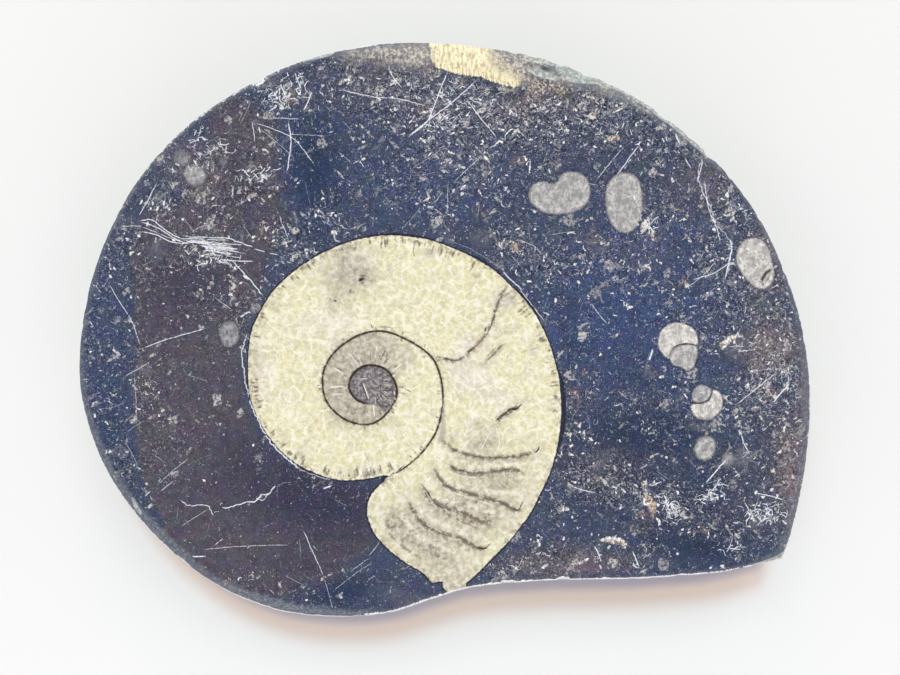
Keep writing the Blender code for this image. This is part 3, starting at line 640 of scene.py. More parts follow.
# ---- stage --------------------------------------------------------------------------
TABLE_REACH = 3.0
SUN_DISTANCE = 1.5


# ---- survey and curves -----------------------------------------------------------------
def survey_to_face(points):
    """Survey pixels to metres on the face."""
    p = np.asarray(points, float)
    return np.stack([(p[:, 0] - VIEW_MIDDLE[0]) * FACE_PIXEL + CAMERA_SPOT[0],
                     (VIEW_MIDDLE[1] - p[:, 1]) * FACE_PIXEL + CAMERA_SPOT[1]], 1)


def face_to_survey(xy):
    """Metres on the face to survey pixels."""
    return np.stack([(xy[:, 0] - CAMERA_SPOT[0]) / FACE_PIXEL + VIEW_MIDDLE[0],
                     VIEW_MIDDLE[1] - (xy[:, 1] - CAMERA_SPOT[1]) / FACE_PIXEL], 1)


def ease(share):
    return share * share * (3.0 - 2.0 * share)


def curve_point(p0, p1, p2, p3, t):
    """A Catmull-Rom curve's point between p1 and p2."""
    return 0.5 * (2 * p1 + (p2 - p0) * t + (2 * p0 - 5 * p1 + 4 * p2 - p3) * t * t
                  + (3 * p1 - p0 - 3 * p2 + p3) * t ** 3)


def smooth_path(points, step):
    """A curve through the points, with a point about every step."""
    p = np.asarray(points, float)
    if len(p) > 2:
        ends = np.vstack([2 * p[0] - p[1], p, 2 * p[-1] - p[-2]])
        fine = []
        for k in range(len(p) - 1):
            fine += [curve_point(*ends[k:k + 4], t) for t in np.linspace(0.0, 1.0, CURVE_STEPS + 1)[:-1]]
        p = np.vstack([fine, p[-1:]])
    lengths = np.concatenate([[0.0], np.cumsum(np.linalg.norm(np.diff(p, axis=0), axis=1))])
    count = max(2, int(round(lengths[-1] / step)) + 1)
    at = np.linspace(0.0, lengths[-1], count)
    return np.stack([np.interp(at, lengths, p[:, 0]), np.interp(at, lengths, p[:, 1])], 1)


def closed_curve(points, step):
    return smooth_path([*points, points[0]], step)[:-1]


def path_normals(path):
    along = np.gradient(path, axis=0)
    along /= np.maximum(np.linalg.norm(along, axis=1, keepdims=True), 1e-9)
    return np.stack([-along[:, 1], along[:, 0]], 1)


def distance_to_path(points, path):
    """Distance from each point to a polyline, and how far along it the nearest place is (0 to 1)."""
    start, along = path[:-1], path[1:] - path[:-1]
    size = np.maximum((along ** 2).sum(1), 1e-12)
    best = np.empty(len(points))
    where = np.empty(len(points))
    step = max(1, BATCH // len(start))
    for first in range(0, len(points), step):
        p = points[first:first + step]
        dx = p[:, 0, None] - start[:, 0]
        dy = p[:, 1, None] - start[:, 1]
        t = np.clip((dx * along[:, 0] + dy * along[:, 1]) / size, 0.0, 1.0)
        far = (dx - t * along[:, 0]) ** 2 + (dy - t * along[:, 1]) ** 2
        k = far.argmin(1)
        row = np.arange(len(p))
        best[first:first + step] = np.sqrt(far[row, k])
        where[first:first + step] = (k + t[row, k]) / len(start)
    return best, where


def near_box(points, path, reach):
    """Which points lie within reach of the path's bounding box."""
    return np.all((points >= path.min(0) - reach) & (points <= path.max(0) + reach), axis=1)


def signed_distance(points, outline, reach=None):
    """Distance to a closed outline, positive inside. Beyond reach, it's only a lower bound."""
    points = np.asarray(points, float)
    if reach is not None:
        near = near_box(points, outline, reach)
        result = np.full(len(points), -float(reach))
        if near.any():
            result[near] = signed_distance(points[near], outline)
        return result
    ring = np.vstack([outline, outline[:1]])
    far, _ = distance_to_path(points, ring)
    x0, y0 = ring[:-1].T
    x1, y1 = ring[1:].T
    rise = np.where(y1 == y0, 1.0, y1 - y0)
    inside = np.empty(len(points), bool)
    step = max(1, BATCH // len(x0))
    for first in range(0, len(points), step):
        x, y = points[first:first + step, :1], points[first:first + step, 1:]
        crosses = ((y0 > y) != (y1 > y)) & (x < (x1 - x0) * (y - y0) / rise + x0)
        inside[first:first + step] = crosses.sum(1) % 2 == 1
    return np.where(inside, far, -far)


def patches(points, rows):
    """Sum of soft elliptical patches at each point, 0 to 1."""
    total = np.zeros(len(points))
    for cx, cy, rx, ry, turn, strength in rows:
        t = math.radians(turn)
        dx, dy = points[:, 0] - cx, -(points[:, 1] - cy)
        u = (dx * math.cos(t) + dy * math.sin(t)) / rx
        v = (-dx * math.sin(t) + dy * math.cos(t)) / ry
        total += strength * ease(np.clip(1.0 - np.sqrt(u * u + v * v), 0.0, 1.0))
    return np.clip(total, 0.0, 1.0)


def soft_strokes(points, rows):
    """The strongest of the soft wide strokes at each point, 0 to 1."""
    total = np.zeros(len(points))
    for stroke, half, strength in rows:
        path = smooth_path(stroke, 4.0)
        near = near_box(points, path, half).nonzero()[0]
        far, where = distance_to_path(points[near], path)
        ends = np.clip(np.minimum(where, 1.0 - where) / 0.15, 0.0, 1.0)
        value = strength * ease(np.clip(1.0 - far / half, 0.0, 1.0)) * (0.3 + 0.7 * ends)
        total[near] = np.maximum(total[near], value)
    return total


# ---- the slab's rim ---------------------------------------------------------------------
def hub_angles(points):
    """Angle of each point around the hub, in degrees from 0 to 360."""
    hub = survey_to_face([HUB])[0]
    return np.degrees(np.arctan2(points[:, 1] - hub[1], points[:, 0] - hub[0])) % 360.0


def widest_ring(node):
    """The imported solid's widest line, as points in order around the hub from its sharp corner."""
    level = LOW.z + THICKNESS * WIDEST_LEVEL
    found = {}
    for v in node.data.vertices:
        if abs(v.co.z - level) < WIDEST_LEVEL_MARGIN:
            found[(round(v.co.x / MM, 2), round(v.co.y / MM, 2))] = (v.co.x, v.co.y)
    points = np.array(list(found.values()))
    points = points[np.argsort(hub_angles(points))]
    corner = np.argmax(points[:, 0] - 1.6 * points[:, 1])
    return np.roll(points, -corner, axis=0)


def fine_outline(ring):
    """The ring with RIM_SPLITS points for each of its own, smooth but for its one corner."""
    p = np.vstack([2 * ring[0] - ring[1], ring, ring[:1], 2 * ring[0] - ring[-1]])
    return np.array([curve_point(*p[k:k + 4], j / RIM_SPLITS)
                     for k in range(len(ring)) for j in range(RIM_SPLITS)])


def inward_normals(outline):
    along = np.roll(outline, -1, 0) - np.roll(outline, 1, 0)
    normal = np.stack([-along[:, 1], along[:, 0]], 1)
    return normal / np.linalg.norm(normal, axis=1, keepdims=True)


def table_value(table, angle):
    """Value at each angle in degrees, eased between the table's neighbouring entries."""
    rows = sorted(table)
    a = np.array([rows[-1][0] - 360.0] + [r[0] for r in rows] + [rows[0][0] + 360.0])
    v = np.array([rows[-1][1]] + [r[1] for r in rows] + [rows[0][1]])
    k = np.clip(np.searchsorted(a, angle, side="right") - 1, 0, len(a) - 2)
    return v[k] + (v[k + 1] - v[k]) * ease((angle - a[k]) / (a[k + 1] - a[k]))


def chip_depth(outline, angle):
    """How deep the rim's chips cut at each place, with a torn edge."""
    depth = np.zeros(len(angle))
    for middle, half, deepest in CHIPS:
        away = np.abs((angle - middle + 180.0) % 360.0 - 180.0) / half
        depth = np.maximum(depth, deepest * np.sqrt(np.clip(1.0 - away * away, 0.0, 1.0)))
    torn = [0.8 + 0.9 * noise.noise(Vector((x * 0.8, y * 0.8, 1.0))) for x, y in outline / MM]
    return depth * np.array(torn) * MM


def nick_depth(outline, angle, seed):
    """Fine chipping of the bevel's edges, most of it along the top right and the bottom."""
    size = table_value(NICK_SIZES, angle)
    depth = np.zeros(len(outline))
    for k, (x, y) in enumerate(outline / MM):
        broad = noise.noise(Vector((x * 0.35, y * 0.35, seed)))
        fine = noise.noise(Vector((x * 1.3, y * 1.3, seed + 5.0)))
        finest = noise.noise(Vector((x * 2.9, y * 2.9, seed + 9.0)))
        depth[k] = max(0.0, broad * 0.9 + fine * 0.9 + finest * 0.5 - 0.10) * size[k]
    return depth * MM


def wall_profile(bevel, chip, outer, inner):
    """Heights and insets of the wall's rings at each station, from the back to the face."""
    drop = bevel * BEVEL_SLOPE
    foot = THICKNESS - drop
    profile = [
        (0.0, BACK_INSET),
        (BACK_EDGE * 0.45, BACK_CURVE_INSET),
        (BACK_EDGE, LOWER_WALL_INSET),
        (THICKNESS * WIDEST_LEVEL, 0.0),
        (foot - UPPER_WALL_DROP - chip - outer, UPPER_WALL_INSET),
        (foot - chip * 0.8 - outer * 0.9, BEVEL_FOOT_INSET + chip * 0.2 + outer * 0.35),
        (THICKNESS - drop * (0.5 - BEVEL_CROWN) - chip * 0.3, bevel * 0.5 + chip * 0.65 + outer * 0.2),
        (THICKNESS, bevel + chip + inner),
    ]
    profile = np.array([[h + 0.0 * bevel, i + 0.0 * bevel] for h, i in profile])
    rings, levels = [], []
    for k, steps in enumerate(PROFILE_STEPS):
        for j in range(steps):
            t = j / steps
            rings.append(profile[k] * (1 - t) + profile[k + 1] * t)
            levels.append(k + t)
    heights, insets = np.array(rings + [profile[-1]]).transpose(1, 2, 0)
    return heights, insets, np.array(levels + [len(PROFILE_STEPS)])


def wall_roughness(outline, heights, levels):
    """How far the ground wall is worn back at each place: waves, grain and a few pits."""
    rough = np.zeros_like(heights)
    for s, (x, y) in enumerate(outline / MM):
        for k in range(1, len(levels) - 1):
            z = heights[s, k] / MM
            wave = noise.noise(Vector((x * 0.16, y * 0.16, z * 0.10)))
            grain = noise.fractal(Vector((x * 1.1, y * 1.1, z * 0.9)), 0.8, 2.1, 3)
            pit = max(0.0, noise.noise(Vector((x * 0.55 + 31.0, y * 0.55, z * 0.6))) - 0.25)
            rough[s, k] = 0.05 * (wave + 1.0) + 0.035 * abs(grain) + 0.45 * pit
    fade = np.interp(levels, [0, 1, 2.6, 3.4, 4, 5, 5.6, 7], [0.3, 1, 0.8, 0.8, 1, 1, 0.35, 0])
    return rough * fade * MM


def rim_grid(ring):
    """The wall from the back to the face: positions, and how worn, dusty and crushed each place is."""
    outline = fine_outline(ring)
    angle = hub_angles(outline)
    bevel = table_value(BEVEL_WIDTHS, angle) * MM
    chip = chip_depth(outline, angle)
    outer, inner = (nick_depth(outline, angle, seed) for seed in NICK_SEEDS)
    heights, insets, levels = wall_profile(bevel, chip, outer, inner)
    insets = insets + wall_roughness(outline, heights, levels)
    place = outline[:, None, :] + inward_normals(outline)[:, None, :] * insets[:, :, None]
    positions = np.dstack([place, heights])
    worn = np.broadcast_to(np.interp(levels, [0, 4.6, 5.2, 6.8, 7], [1, 1, 0.85, 0.75, 0.3]), heights.shape)
    dust = table_value(RIM_DUST, angle)[:, None] * np.interp(levels, [4.2, 5.0], [0, 1])
    dust = dust + 0.9 * np.interp(levels, [4.2, 5.0], [1, 0])
    narrow = np.clip(1.25 - bevel / NARROW_BEVEL, 0.0, 1.0)[:, None]
    reach = np.maximum(np.interp(levels, [4.5, 4.8, 5.1, 5.5], [0, 1, 1, 0]),
                       narrow * np.interp(levels, [4.5, 4.9, 6.4, 7.0], [0, 1, 1, 0.2]))
    chalk = table_value(EDGE_CHALK, angle)[:, None] * reach
    crushed = np.clip(chalk + 0.22 * chip[:, None] / MM * np.interp(levels, [4, 5], [0, 1]), 0.0, 1.0)
    return positions, worn, dust, crushed


# ---- lines on the face --------------------------------------------------------------------
class Lines:
    """Lines that the face's mesh follows: each has a kind, a path, a half width and a strength."""

    def __init__(self):
        self.rows = []

    def add(self, kind, points, half, strength, taper=0.12, step=PATH_STEP, waver=0.0, rng=None):
        path = smooth_path(points, step)
        if waver:
            shift = np.array([rng.gauss(0.0, waver) for _ in path])
            shift[0] = shift[-1] = 0.0
            path = path + path_normals(path) * shift[:, None]
        self.rows.append((kind, path, half, strength, taper))

    def values(self, points, kinds):
        """Strength of each kind at each point: full on the line, none at its half width."""
        result = {kind: np.zeros(len(points)) for kind in kinds}
        order = np.argsort(points[:, 0], kind="stable")
        across = points[order, 0]
        for kind, path, half, strength, taper in self.rows:
            low, high = path.min(0) - half, path.max(0) + half
            near = order[np.searchsorted(across, low[0]):np.searchsorted(across, high[0], side="right")]
            near = near[(points[near, 1] >= low[1]) & (points[near, 1] <= high[1])]
            far, where = distance_to_path(points[near], path)
            value = strength * np.clip(1.0 - far / half, 0.0, 1.0)
            if taper:
                value *= np.clip(np.minimum(where, 1.0 - where) / taper, 0.15, 1.0)
            result[kind][near] = np.maximum(result[kind][near], value)
        return result


def draw_lines(face_ring):
    """Every surveyed and every seeded line on the face."""
    lines = Lines()
    for points, half, strength in DARK_LINES + FOSSIL_LINES + [INNER_WALL_END]:
        lines.add("dark", points, half, strength, taper=0.08)
    for kind, rows in (("fringe", SOFT_LINES), ("pale", PALE_LINES)):
        for points, half, strength in rows:
            lines.add(kind, points, half, strength)
    rng = random.Random(FLAKE_SEED)
    for rows, wide, strong, taper, step, waver in ((SCRATCHES, 0.88, 1.30, 0.12, PATH_STEP, 0.18),
                                                   (BRIGHT_CRACKS, 0.9, 0.85, 0.06, 2.0, 0.5),
                                                   (WALL_CHIPPING, 1.0, 0.8, 0.06, 2.0, 0.45)):
        for points, half, strength in rows:
            lines.add("scratch", points, half * wide, strength * strong, taper, step, waver, rng)
    # lines of no strength: the mesh follows the edges of the crisp areas
    for outline in [PAINTED_GLINT_AREA] + [outline for outline, _ in PALE_CHIP_AND_SHEEN_AREAS]:
        lines.add("scratch", closed_curve(outline, 3.0), 0.8, 0.0)
    scratch_fan(lines)
    scribbles(lines, rng)
    wall_ticks(lines, rng)
    centre_rays(lines, rng)
    hairlines(lines, rng, face_ring)
    flakes(lines, rng, face_ring)
    for points, half, strength in BIG_FLAKES:
        lines.add("chip", points, half, strength, taper=0.3, step=2.0)
    return lines


def scratch_fan(lines):
    """The dense wedge of parallel strokes at the upper left."""
    rng = random.Random(SCRATCH_FAN_SEED)
    start = smooth_path(SCRATCH_FAN_FROM, 1.0)
    end = smooth_path(SCRATCH_FAN_TO, 1.0)
    for _ in range(SCRATCH_FAN_COUNT):
        across = rng.random()
        a = start[int(across * (len(start) - 1))]
        b = end[int(across * (len(end) - 1))]
        first = rng.uniform(0.0, 0.75) * (1.0 - 0.3 * across)
        last = min(1.0, first + rng.uniform(0.15, 0.55))
        p = a + (b - a) * first
        q = a + (b - a) * last
        middle = (p + q) / 2 + np.array([0.0, rng.uniform(-1.2, 1.2)])
        lines.add("scratch", [p, middle, q], rng.uniform(0.5, 0.8), rng.uniform(0.35, 1.1),
                  waver=0.25, rng=rng)


def scribbles(lines, rng):
    """Patches of short curly scuffs with brighter nicks among them."""
    for cx, cy, rx, ry, turn, strength in SCRIBBLES:
        for _ in range(int(4 + rx * ry / SCUFF_AREA)):
            x = cx + rng.gauss(0, 0.45) * rx
            y = cy + rng.gauss(0, 0.45) * ry
            heading = math.radians(turn + rng.gauss(0, 36))
            points = [(x, y)]
            for _ in range(rng.choice((2, 2, 3))):
                run = rng.uniform(1.4, 5.0)
                x += math.cos(heading) * run
                y -= math.sin(heading) * run
                points.append((x, y))
                heading += rng.gauss(0, 0.7)
            lines.add("scratch", points, rng.uniform(0.40, 0.70), strength * rng.uniform(0.4, 2.0), step=2.0)
        for _ in range(int(rx * ry / NICK_AREA)):
            x = cx + rng.gauss(0, 0.5) * rx
            y = cy + rng.gauss(0, 0.5) * ry
            end = (x + rng.uniform(-2.0, 2.0), y + rng.uniform(-2.0, 2.0))
            lines.add("chip", [(x, y), end], rng.uniform(1.0, 1.9), rng.uniform(0.5, 1.0), 0.0, 2.0)


def drift(rng):
    return np.array([rng.gauss(0, 0.8), rng.gauss(0, 0.8)])


def wall_ticks(lines, rng):
    """Short radial blotches inside the shell's wall and on both sides of its inner wall."""
    wall = smooth_path(OUTER_WALL, 3.0)
    normals = path_normals(wall)
    for _ in range(OUTER_TICKS):
        k = rng.randrange(int(len(wall) * 0.22), len(wall) - 2)
        side = -normals[k] if signed_distance((wall[k] - normals[k] * 3)[None], SHELL)[0] > 0 else normals[k]
        start = wall[k] + side * rng.uniform(0.0, 1.6)
        end = start + side * rng.uniform(3.0, 14.0) + drift(rng)
        lines.add("fringe", [start, end], rng.uniform(1.2, 3.0), rng.uniform(0.35, 1.15), taper=0.4)
    inner = smooth_path(INNER_WALL, 3.0)
    normals = path_normals(inner)
    for _ in range(INNER_TICKS):
        k = rng.randrange(2, len(inner) - 2)
        side = normals[k] * rng.choice((-1.0, 1.0))
        start = inner[k] + side * rng.uniform(0.2, 1.4)
        end = start + side * rng.uniform(1.5, 7.0) + drift(rng)
        lines.add("fringe", [start, end], rng.uniform(1.0, 2.2), rng.uniform(0.25, 0.80), taper=0.3)
    for k in range(0, len(inner) - 1, 3):
        spot = inner[k] + normals[k] * rng.uniform(-0.6, 0.6)
        lines.add("fringe", [spot, spot + drift(rng) * 1.5], rng.uniform(1.4, 3.0), rng.uniform(0.2, 0.8),
                  taper=0.0)


def centre_rays(lines, rng):
    """Fine rays across the first turn and, darker, inside the shell's centre."""
    for _ in range(FIRST_TURN_RAYS):
        turn = rng.uniform(0.0, math.tau)
        near = rng.uniform(22, 30)
        far = near + rng.uniform(4, 16)
        bend = turn + rng.uniform(-0.05, 0.15)
        ray = [(371 + near * math.cos(turn), 384 + near * math.sin(turn) * 0.86),
               (369 + far * math.cos(bend), 384 + far * math.sin(bend) * 0.92)]
        lines.add(rng.choice(("fringe", "fringe", "pale")), ray, rng.uniform(0.9, 1.8),
                  rng.uniform(0.25, 0.70), taper=0.2)
    for _ in range(CENTRE_RAYS):
        turn = rng.uniform(-1.2, 1.3)
        near, far = rng.uniform(11, 14), rng.uniform(18, 23)
        ray = [(371 + near * math.cos(turn), 386 + near * math.sin(turn) * 0.9),
               (372 + far * math.cos(turn + 0.12), 387 + far * math.sin(turn + 0.12) * 0.85)]
        lines.add(rng.choice(("dark", "dark", "pale")), ray, 0.9, rng.uniform(0.25, 0.6), taper=0.2)


def hairlines(lines, rng, face_ring):
    """Fine seeded scratches from handling, most of them at the upper left and along the top."""
    made = 0
    while made < HAIRLINES:
        x, y = rng.uniform(95, 800), rng.uniform(50, 610)
        upper = max(0.0, 1.0 - y / 420.0)
        if rng.random() > 0.30 + 0.6 * upper:
            continue
        heading = math.radians(rng.choice((20, -35, 60, -60, 85)) + rng.gauss(0, 14))
        length = rng.uniform(6, 34)
        dx, dy = math.cos(heading) * length / 2, -math.sin(heading) * length / 2
        bend = rng.uniform(-0.06, 0.06) * length
        ends = [(x - dx, y - dy), (x + bend, y + bend), (x + dx, y + dy)]
        made += 1
        if (signed_distance(ends, face_ring) <= 5.0).any() or (signed_distance(ends, SHELL) > -3.0).any():
            continue
        lines.add("scratch", ends, rng.uniform(0.45, 0.75), rng.uniform(0.12, 0.42), step=6.0)


def flakes(lines, rng, face_ring):
    """Broken shell in the matrix: short curved slivers, dull ones and a few bright ones."""
    for kind, count, wide, long, bright in FLAKE_KINDS:
        made = 0
        spots = np.array([(rng.uniform(86, 806), rng.uniform(48, 612)) for _ in range(count * 4)])
        dense = 0.08 + patches(spots, HASH_PATCHES) - 0.8 * patches(spots, BARE_PATCHES)
        clear = (signed_distance(spots, face_ring) > 4.0) & (signed_distance(spots, SHELL) < -4.0)
        for (x, y), chance, free in zip(spots, dense, clear):
            if made >= count:
                break
            if rng.random() > chance * 1.2 or not free:
                continue
            made += 1
            heading = rng.uniform(0, math.pi)
            half = long[0] + (long[1] - long[0]) * rng.random() ** 2
            dx, dy = math.cos(heading) * half, math.sin(heading) * half
            bend = rng.uniform(-0.6, 0.6)
            points = [(x - dx, y - dy), (x - bend * dy, y + bend * dx), (x + dx, y + dy)]
            lines.add(kind, points, rng.uniform(*wide), rng.uniform(*bright), 0.0, 2.6)


# ---- the mesh -------------------------------------------------------------------------------
def hex_grid(ring, spacing, rng):
    """Slightly shaken points in rows over the ring's box."""
    low, high = ring.min(0), ring.max(0)
    rows = []
    y, odd = low[1], False
    while y < high[1]:
        x = low[0] + (spacing / 2 if odd else 0.0)
        while x < high[0]:
            rows.append((x + rng.uniform(-GRID_SHAKE, GRID_SHAKE) * spacing,
                         y + rng.uniform(-GRID_SHAKE, GRID_SHAKE) * spacing))
            x += spacing
        y += spacing * math.sqrt(3) / 2
        odd = not odd
    return np.array(rows)


def triangulate(ring, grid, lines):
    """A mesh inside the ring whose edges follow the lines, in survey pixels. Gives its points, its
    faces, and the points of the ring that each of its points comes from."""
    points = [Vector(p) for p in ring] + [Vector(p) for p in grid[signed_distance(grid, ring) > 1.2]]
    edges = []
    ends = np.cumsum([len(row[1]) for row in lines])
    room = signed_distance(np.vstack([row[1] for row in lines]), ring) if lines else None
    for (_, path, half, _, _), end in zip(lines, ends):
        normals = path_normals(path)
        keep = room[end - len(path):end] > half + 0.8
        for offset in (-half, 0.0, half):
            base = len(points)
            points += [Vector(p) for p in path + normals * offset]
            edges += [(base + k, base + k + 1) for k in range(len(path) - 1) if keep[k] and keep[k + 1]]
    flat, _, faces, origin, _, _ = delaunay_2d_cdt(points, edges, [list(range(len(ring)))], 1, 0.02)
    return np.array([(v.x, v.y) for v in flat]), faces, origin


SHELL = np.vstack([smooth_path(OUTER_WALL, 3.0)[:-1], smooth_path(LIP, 3.0), TIP])


def face_grid(face_ring, rng):
    """Grid points for the face, closer together inside the coiled shell."""
    spacing = FACE_SPACING / PIXEL_MM
    wide = hex_grid(face_ring, spacing, rng)
    fine = hex_grid(SHELL, spacing * SHELL_SPACING, rng)
    return np.vstack([wide[signed_distance(wide, SHELL) < 0.0], fine[signed_distance(fine, SHELL) > 0.0]])


def weld_sheet(vertices, polygons, sheet, stations, levels, level, height, order):
    """Adds a flat sheet that shares the wall's vertices along its ring. Gives its own vertices' slice
    and their survey points."""
    points, faces, origin = sheet
    start = sum(len(v) for v in vertices)
    at, new = [], []
    for k, source in enumerate(origin):
        shared = [i for i in source if i < stations]
        at.append(shared[0] * levels + level if shared else start + len(new))
        if not shared:
            new.append(k)
    vertices.append(np.column_stack([survey_to_face(points[new]), np.full(len(new), height)]))
    polygons += [tuple(at[i] for i in f)[::order] for f in faces]
    return slice(start, start + len(new)), points[new]


def nearest_of(survey, rows, reach, step):
    """Distance inside the nearest of some outlines in millimetres, and that outline's tone. Each row is
    an outline, its tone and how soft its edge is. A step of None keeps an outline's straight sides."""
    best = np.full(len(survey), FAR_OUTSIDE)
    tones = np.zeros(len(survey))
    for outline, tone, soft in rows:
        path = closed_curve(outline, step) if step else np.array(outline, float)
        far = signed_distance(survey, path, reach) * PIXEL_MM / soft
        nearer = far > best
        best[nearer] = far[nearer]
        tones[nearer] = tone
    return best, tones


def surface_values(co):
    """What the stone's material reads at each vertex, apart from the lines and the wall's own wear."""
    survey = face_to_survey(co[:, :2])

    def inside(path, reach=12.0):
        return signed_distance(survey, path, reach) * PIXEL_MM

    surface = {name: patches(survey, rows) for name, rows in PATCH_LAYERS.items()}
    # painted shade and painted highlights about the growth ridges
    surface["shade"] = soft_strokes(survey, SHADE_STROKES)
    surface["ridge_highlight"] = soft_strokes(survey, RIDGE_HIGHLIGHT_STROKES)
    surface["shell"] = inside(SHELL)
    surface["wedge"] = inside(closed_curve(MATRIX_WEDGE, 2.0))
    surface["dark_whorl"] = inside(closed_curve(DARK_WHORL, 2.0))
    # the painted brown and navy reflections of the room in the polish
    surface["brown"] = inside(closed_curve(BROWN_REFLECTION_AREA, 4.0), 24.0)
    surface["strip"] = inside(np.array(NAVY_REFLECTION_STRIP, float))
    # the painted warm highlight on the top bevel
    surface["painted_glint"] = inside(closed_curve(PAINTED_GLINT_AREA, 3.0))
    turn = np.clip(signed_distance(survey, closed_curve(FIRST_TURN, 2.0), 12.0) / 3.0 + 0.5, 0.0, 1.0)
    fade = np.clip((418.0 - survey[:, 0]) / 40.0, 0.0, 1.0)
    surface["taupe"] = np.maximum(turn * (0.35 + 0.65 * fade), patches(survey, TAUPE_PATCHES))
    # pale broken edges, partly painted sheen of the light on the bevel
    surface["chalk_and_sheen"] = np.max([inside(closed_curve(outline, 3.0)) - 0.5 * (1.0 - strength)
                                for outline, strength in PALE_CHIP_AND_SHEEN_AREAS], axis=0)
    surface["tan"], surface["tan_tone"] = nearest_of(
        survey, [(outline, tone, 1.0) for outline, tone in TAN_BITS], 8.0, None)
    surface["fossil"], surface["fossil_tone"] = nearest_of(survey, SMALL_FOSSILS, 12.0, 2.0)

    # the bevel's colours end where the wall begins
    below = np.clip((THICKNESS - co[:, 2] - COLOUR_DEPTH) / COLOUR_FADE, 0.0, 1.0)
    for name in ("painted_glint", "chalk_and_sheen"):
        surface[name] += FAR_OUTSIDE * below
    for name in ("streaky", "beige", "black"):
        surface[name] *= 1.0 - below
    return surface


def build_slab():
    """The dressed slab: wall grid, face and back, welded along the face's and the back's edge."""
    grid, worn, dust, crushed = rim_grid(widest_ring(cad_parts[NODE]))
    stations, levels = grid.shape[:2]
    face_ring, back_ring = face_to_survey(grid[:, -1, :2]), face_to_survey(grid[:, 0, :2])
    lines = draw_lines(face_ring)
    rng = random.Random(GRID_SEED)
    face = triangulate(face_ring, face_grid(face_ring, rng), lines.rows)
    back = triangulate(back_ring, hex_grid(back_ring, BACK_SPACING / PIXEL_MM, rng), [])

    vertices = [grid.reshape(-1, 3)]
    polygons = []
    for s in range(stations):
        here, there = s * levels, (s + 1) % stations * levels
        polygons += [(here + k, there + k, there + k + 1, here + k + 1) for k in range(levels - 1)]
    wall = slice(0, stations * levels)
    wall_faces = len(polygons)
    # survey y runs down, so the face's triangles come out flipped and the back's don't
    on_face, face_points = weld_sheet(vertices, polygons, face, stations, levels, levels - 1, THICKNESS, -1)
    face_end = len(polygons)
    on_back, _ = weld_sheet(vertices, polygons, back, stations, levels, 0, 0.0, 1)

    co = np.vstack(vertices)
    drawn = lines.values(face_points, ("dark", "fringe", "pale", "scratch", "flake", "chip"))
    co[on_face, 2] -= np.clip(drawn["scratch"] * 1.2, 0.0, 1.0) * GROOVE_DEPTH
    co = np.clip(co, LOW, HIGH)

    mesh = bpy.data.meshes.new(PIECE)
    mesh.from_pydata(co.tolist(), [], polygons)
    mesh.validate()
    mesh.update()

    surface = surface_values(co)
    for name in [*drawn, "worn", "dust", "crushed"]:
        surface[name] = np.zeros(len(co))
    for name, value in drawn.items():
        surface[name][on_face] = value
    for name, value in (("worn", worn), ("dust", dust), ("crushed", crushed)):
        surface[name][wall] = value.reshape(-1)
    edge = np.clip(1.0 - signed_distance(face_points, face_ring) / 2.2, 0.0, 1.0)
    surface["worn"][on_face] = 0.35 * edge
    surface["worn"][on_back] = 1.0
    surface["dust"][on_back] = 1.0
    for name, value in surface.items():
        layer = mesh.attributes.new(name, "FLOAT", "POINT")
        layer.data.foreach_set("value", value.astype(np.float32))

    bake_map(mesh, grid, wall_faces, face_end)
    mesh.shade_smooth()
    mesh.set_sharp_from_angle(angle=SHARP_ANGLE)
    mesh.materials.append(stone_material())
    slab = bpy.data.objects.new(PIECE, mesh)
    bpy.context.scene.collection.objects.link(slab)
    return slab


def bake_map(mesh, grid, wall_faces, face_end):
    """A UV map with the polished face large, and the back and the wall in four strips below it."""
    uv = mesh.uv_layers.new(name="OFBake")
    co = np.zeros(len(mesh.vertices) * 3, np.float32)
    mesh.vertices.foreach_get("co", co)
    co = co.reshape(-1, 3)
    corner = np.zeros(len(mesh.loops), np.int32)
    mesh.loops.foreach_get("vertex_index", corner)
    starts = np.zeros(len(mesh.polygons), np.int32)
    mesh.polygons.foreach_get("loop_start", starts)
    owner = np.repeat(np.arange(len(starts)), np.diff(np.append(starts, len(corner))))

    stations, levels = grid.shape[:2]
    face_scale, back_scale = MAP_FACE / WIDTH, MAP_BACK / WIDTH
    x, y = co[corner, 0], co[corner, 1]
    back_place = np.stack([MAP_MARGIN + (x - LOW.x) * back_scale, MAP_MARGIN + (y - LOW.y) * back_scale], 1)
    face_place = np.stack([MAP_MARGIN + (x - LOW.x) * face_scale,
                           1.0 - MAP_MARGIN - (HIGH.y - y) * face_scale], 1)

    run = np.zeros((stations, levels))
    run[:, 1:] = np.cumsum(np.linalg.norm(np.diff(grid, axis=1), axis=2), axis=1)
    run /= run[:, -1:]
    per_strip = stations // MAP_STRIPS
    strip = np.minimum(owner // (levels - 1) // per_strip, MAP_STRIPS - 1)
    station = np.minimum(corner // levels, stations - 1)
    local = np.mod(station - strip * per_strip, stations)
    wall_place = np.stack([STRIP_LEFT + STRIP_WIDTH * local / (per_strip + 1),
                           MAP_MARGIN + strip * (STRIP_HEIGHT + MAP_MARGIN)
                           + STRIP_HEIGHT * run[station, corner % levels]], 1)
    places = np.where((owner < wall_faces)[:, None], wall_place,
                      np.where((owner < face_end)[:, None], face_place, back_place))
    uv.data.foreach_set("uv", places.astype(np.float32).reshape(-1))


# ---- materials ---------------------------------------------------------------------------------
def srgb(r, g, b):
    """A display colour, 0 to 255, as linear light."""
    def line(c):
        c /= 255.0
        return c / 12.92 if c <= 0.04045 else ((c + 0.055) / 1.055) ** 2.4
    return (line(r), line(g), line(b), 1.0)


INK = srgb(24, 28, 42)


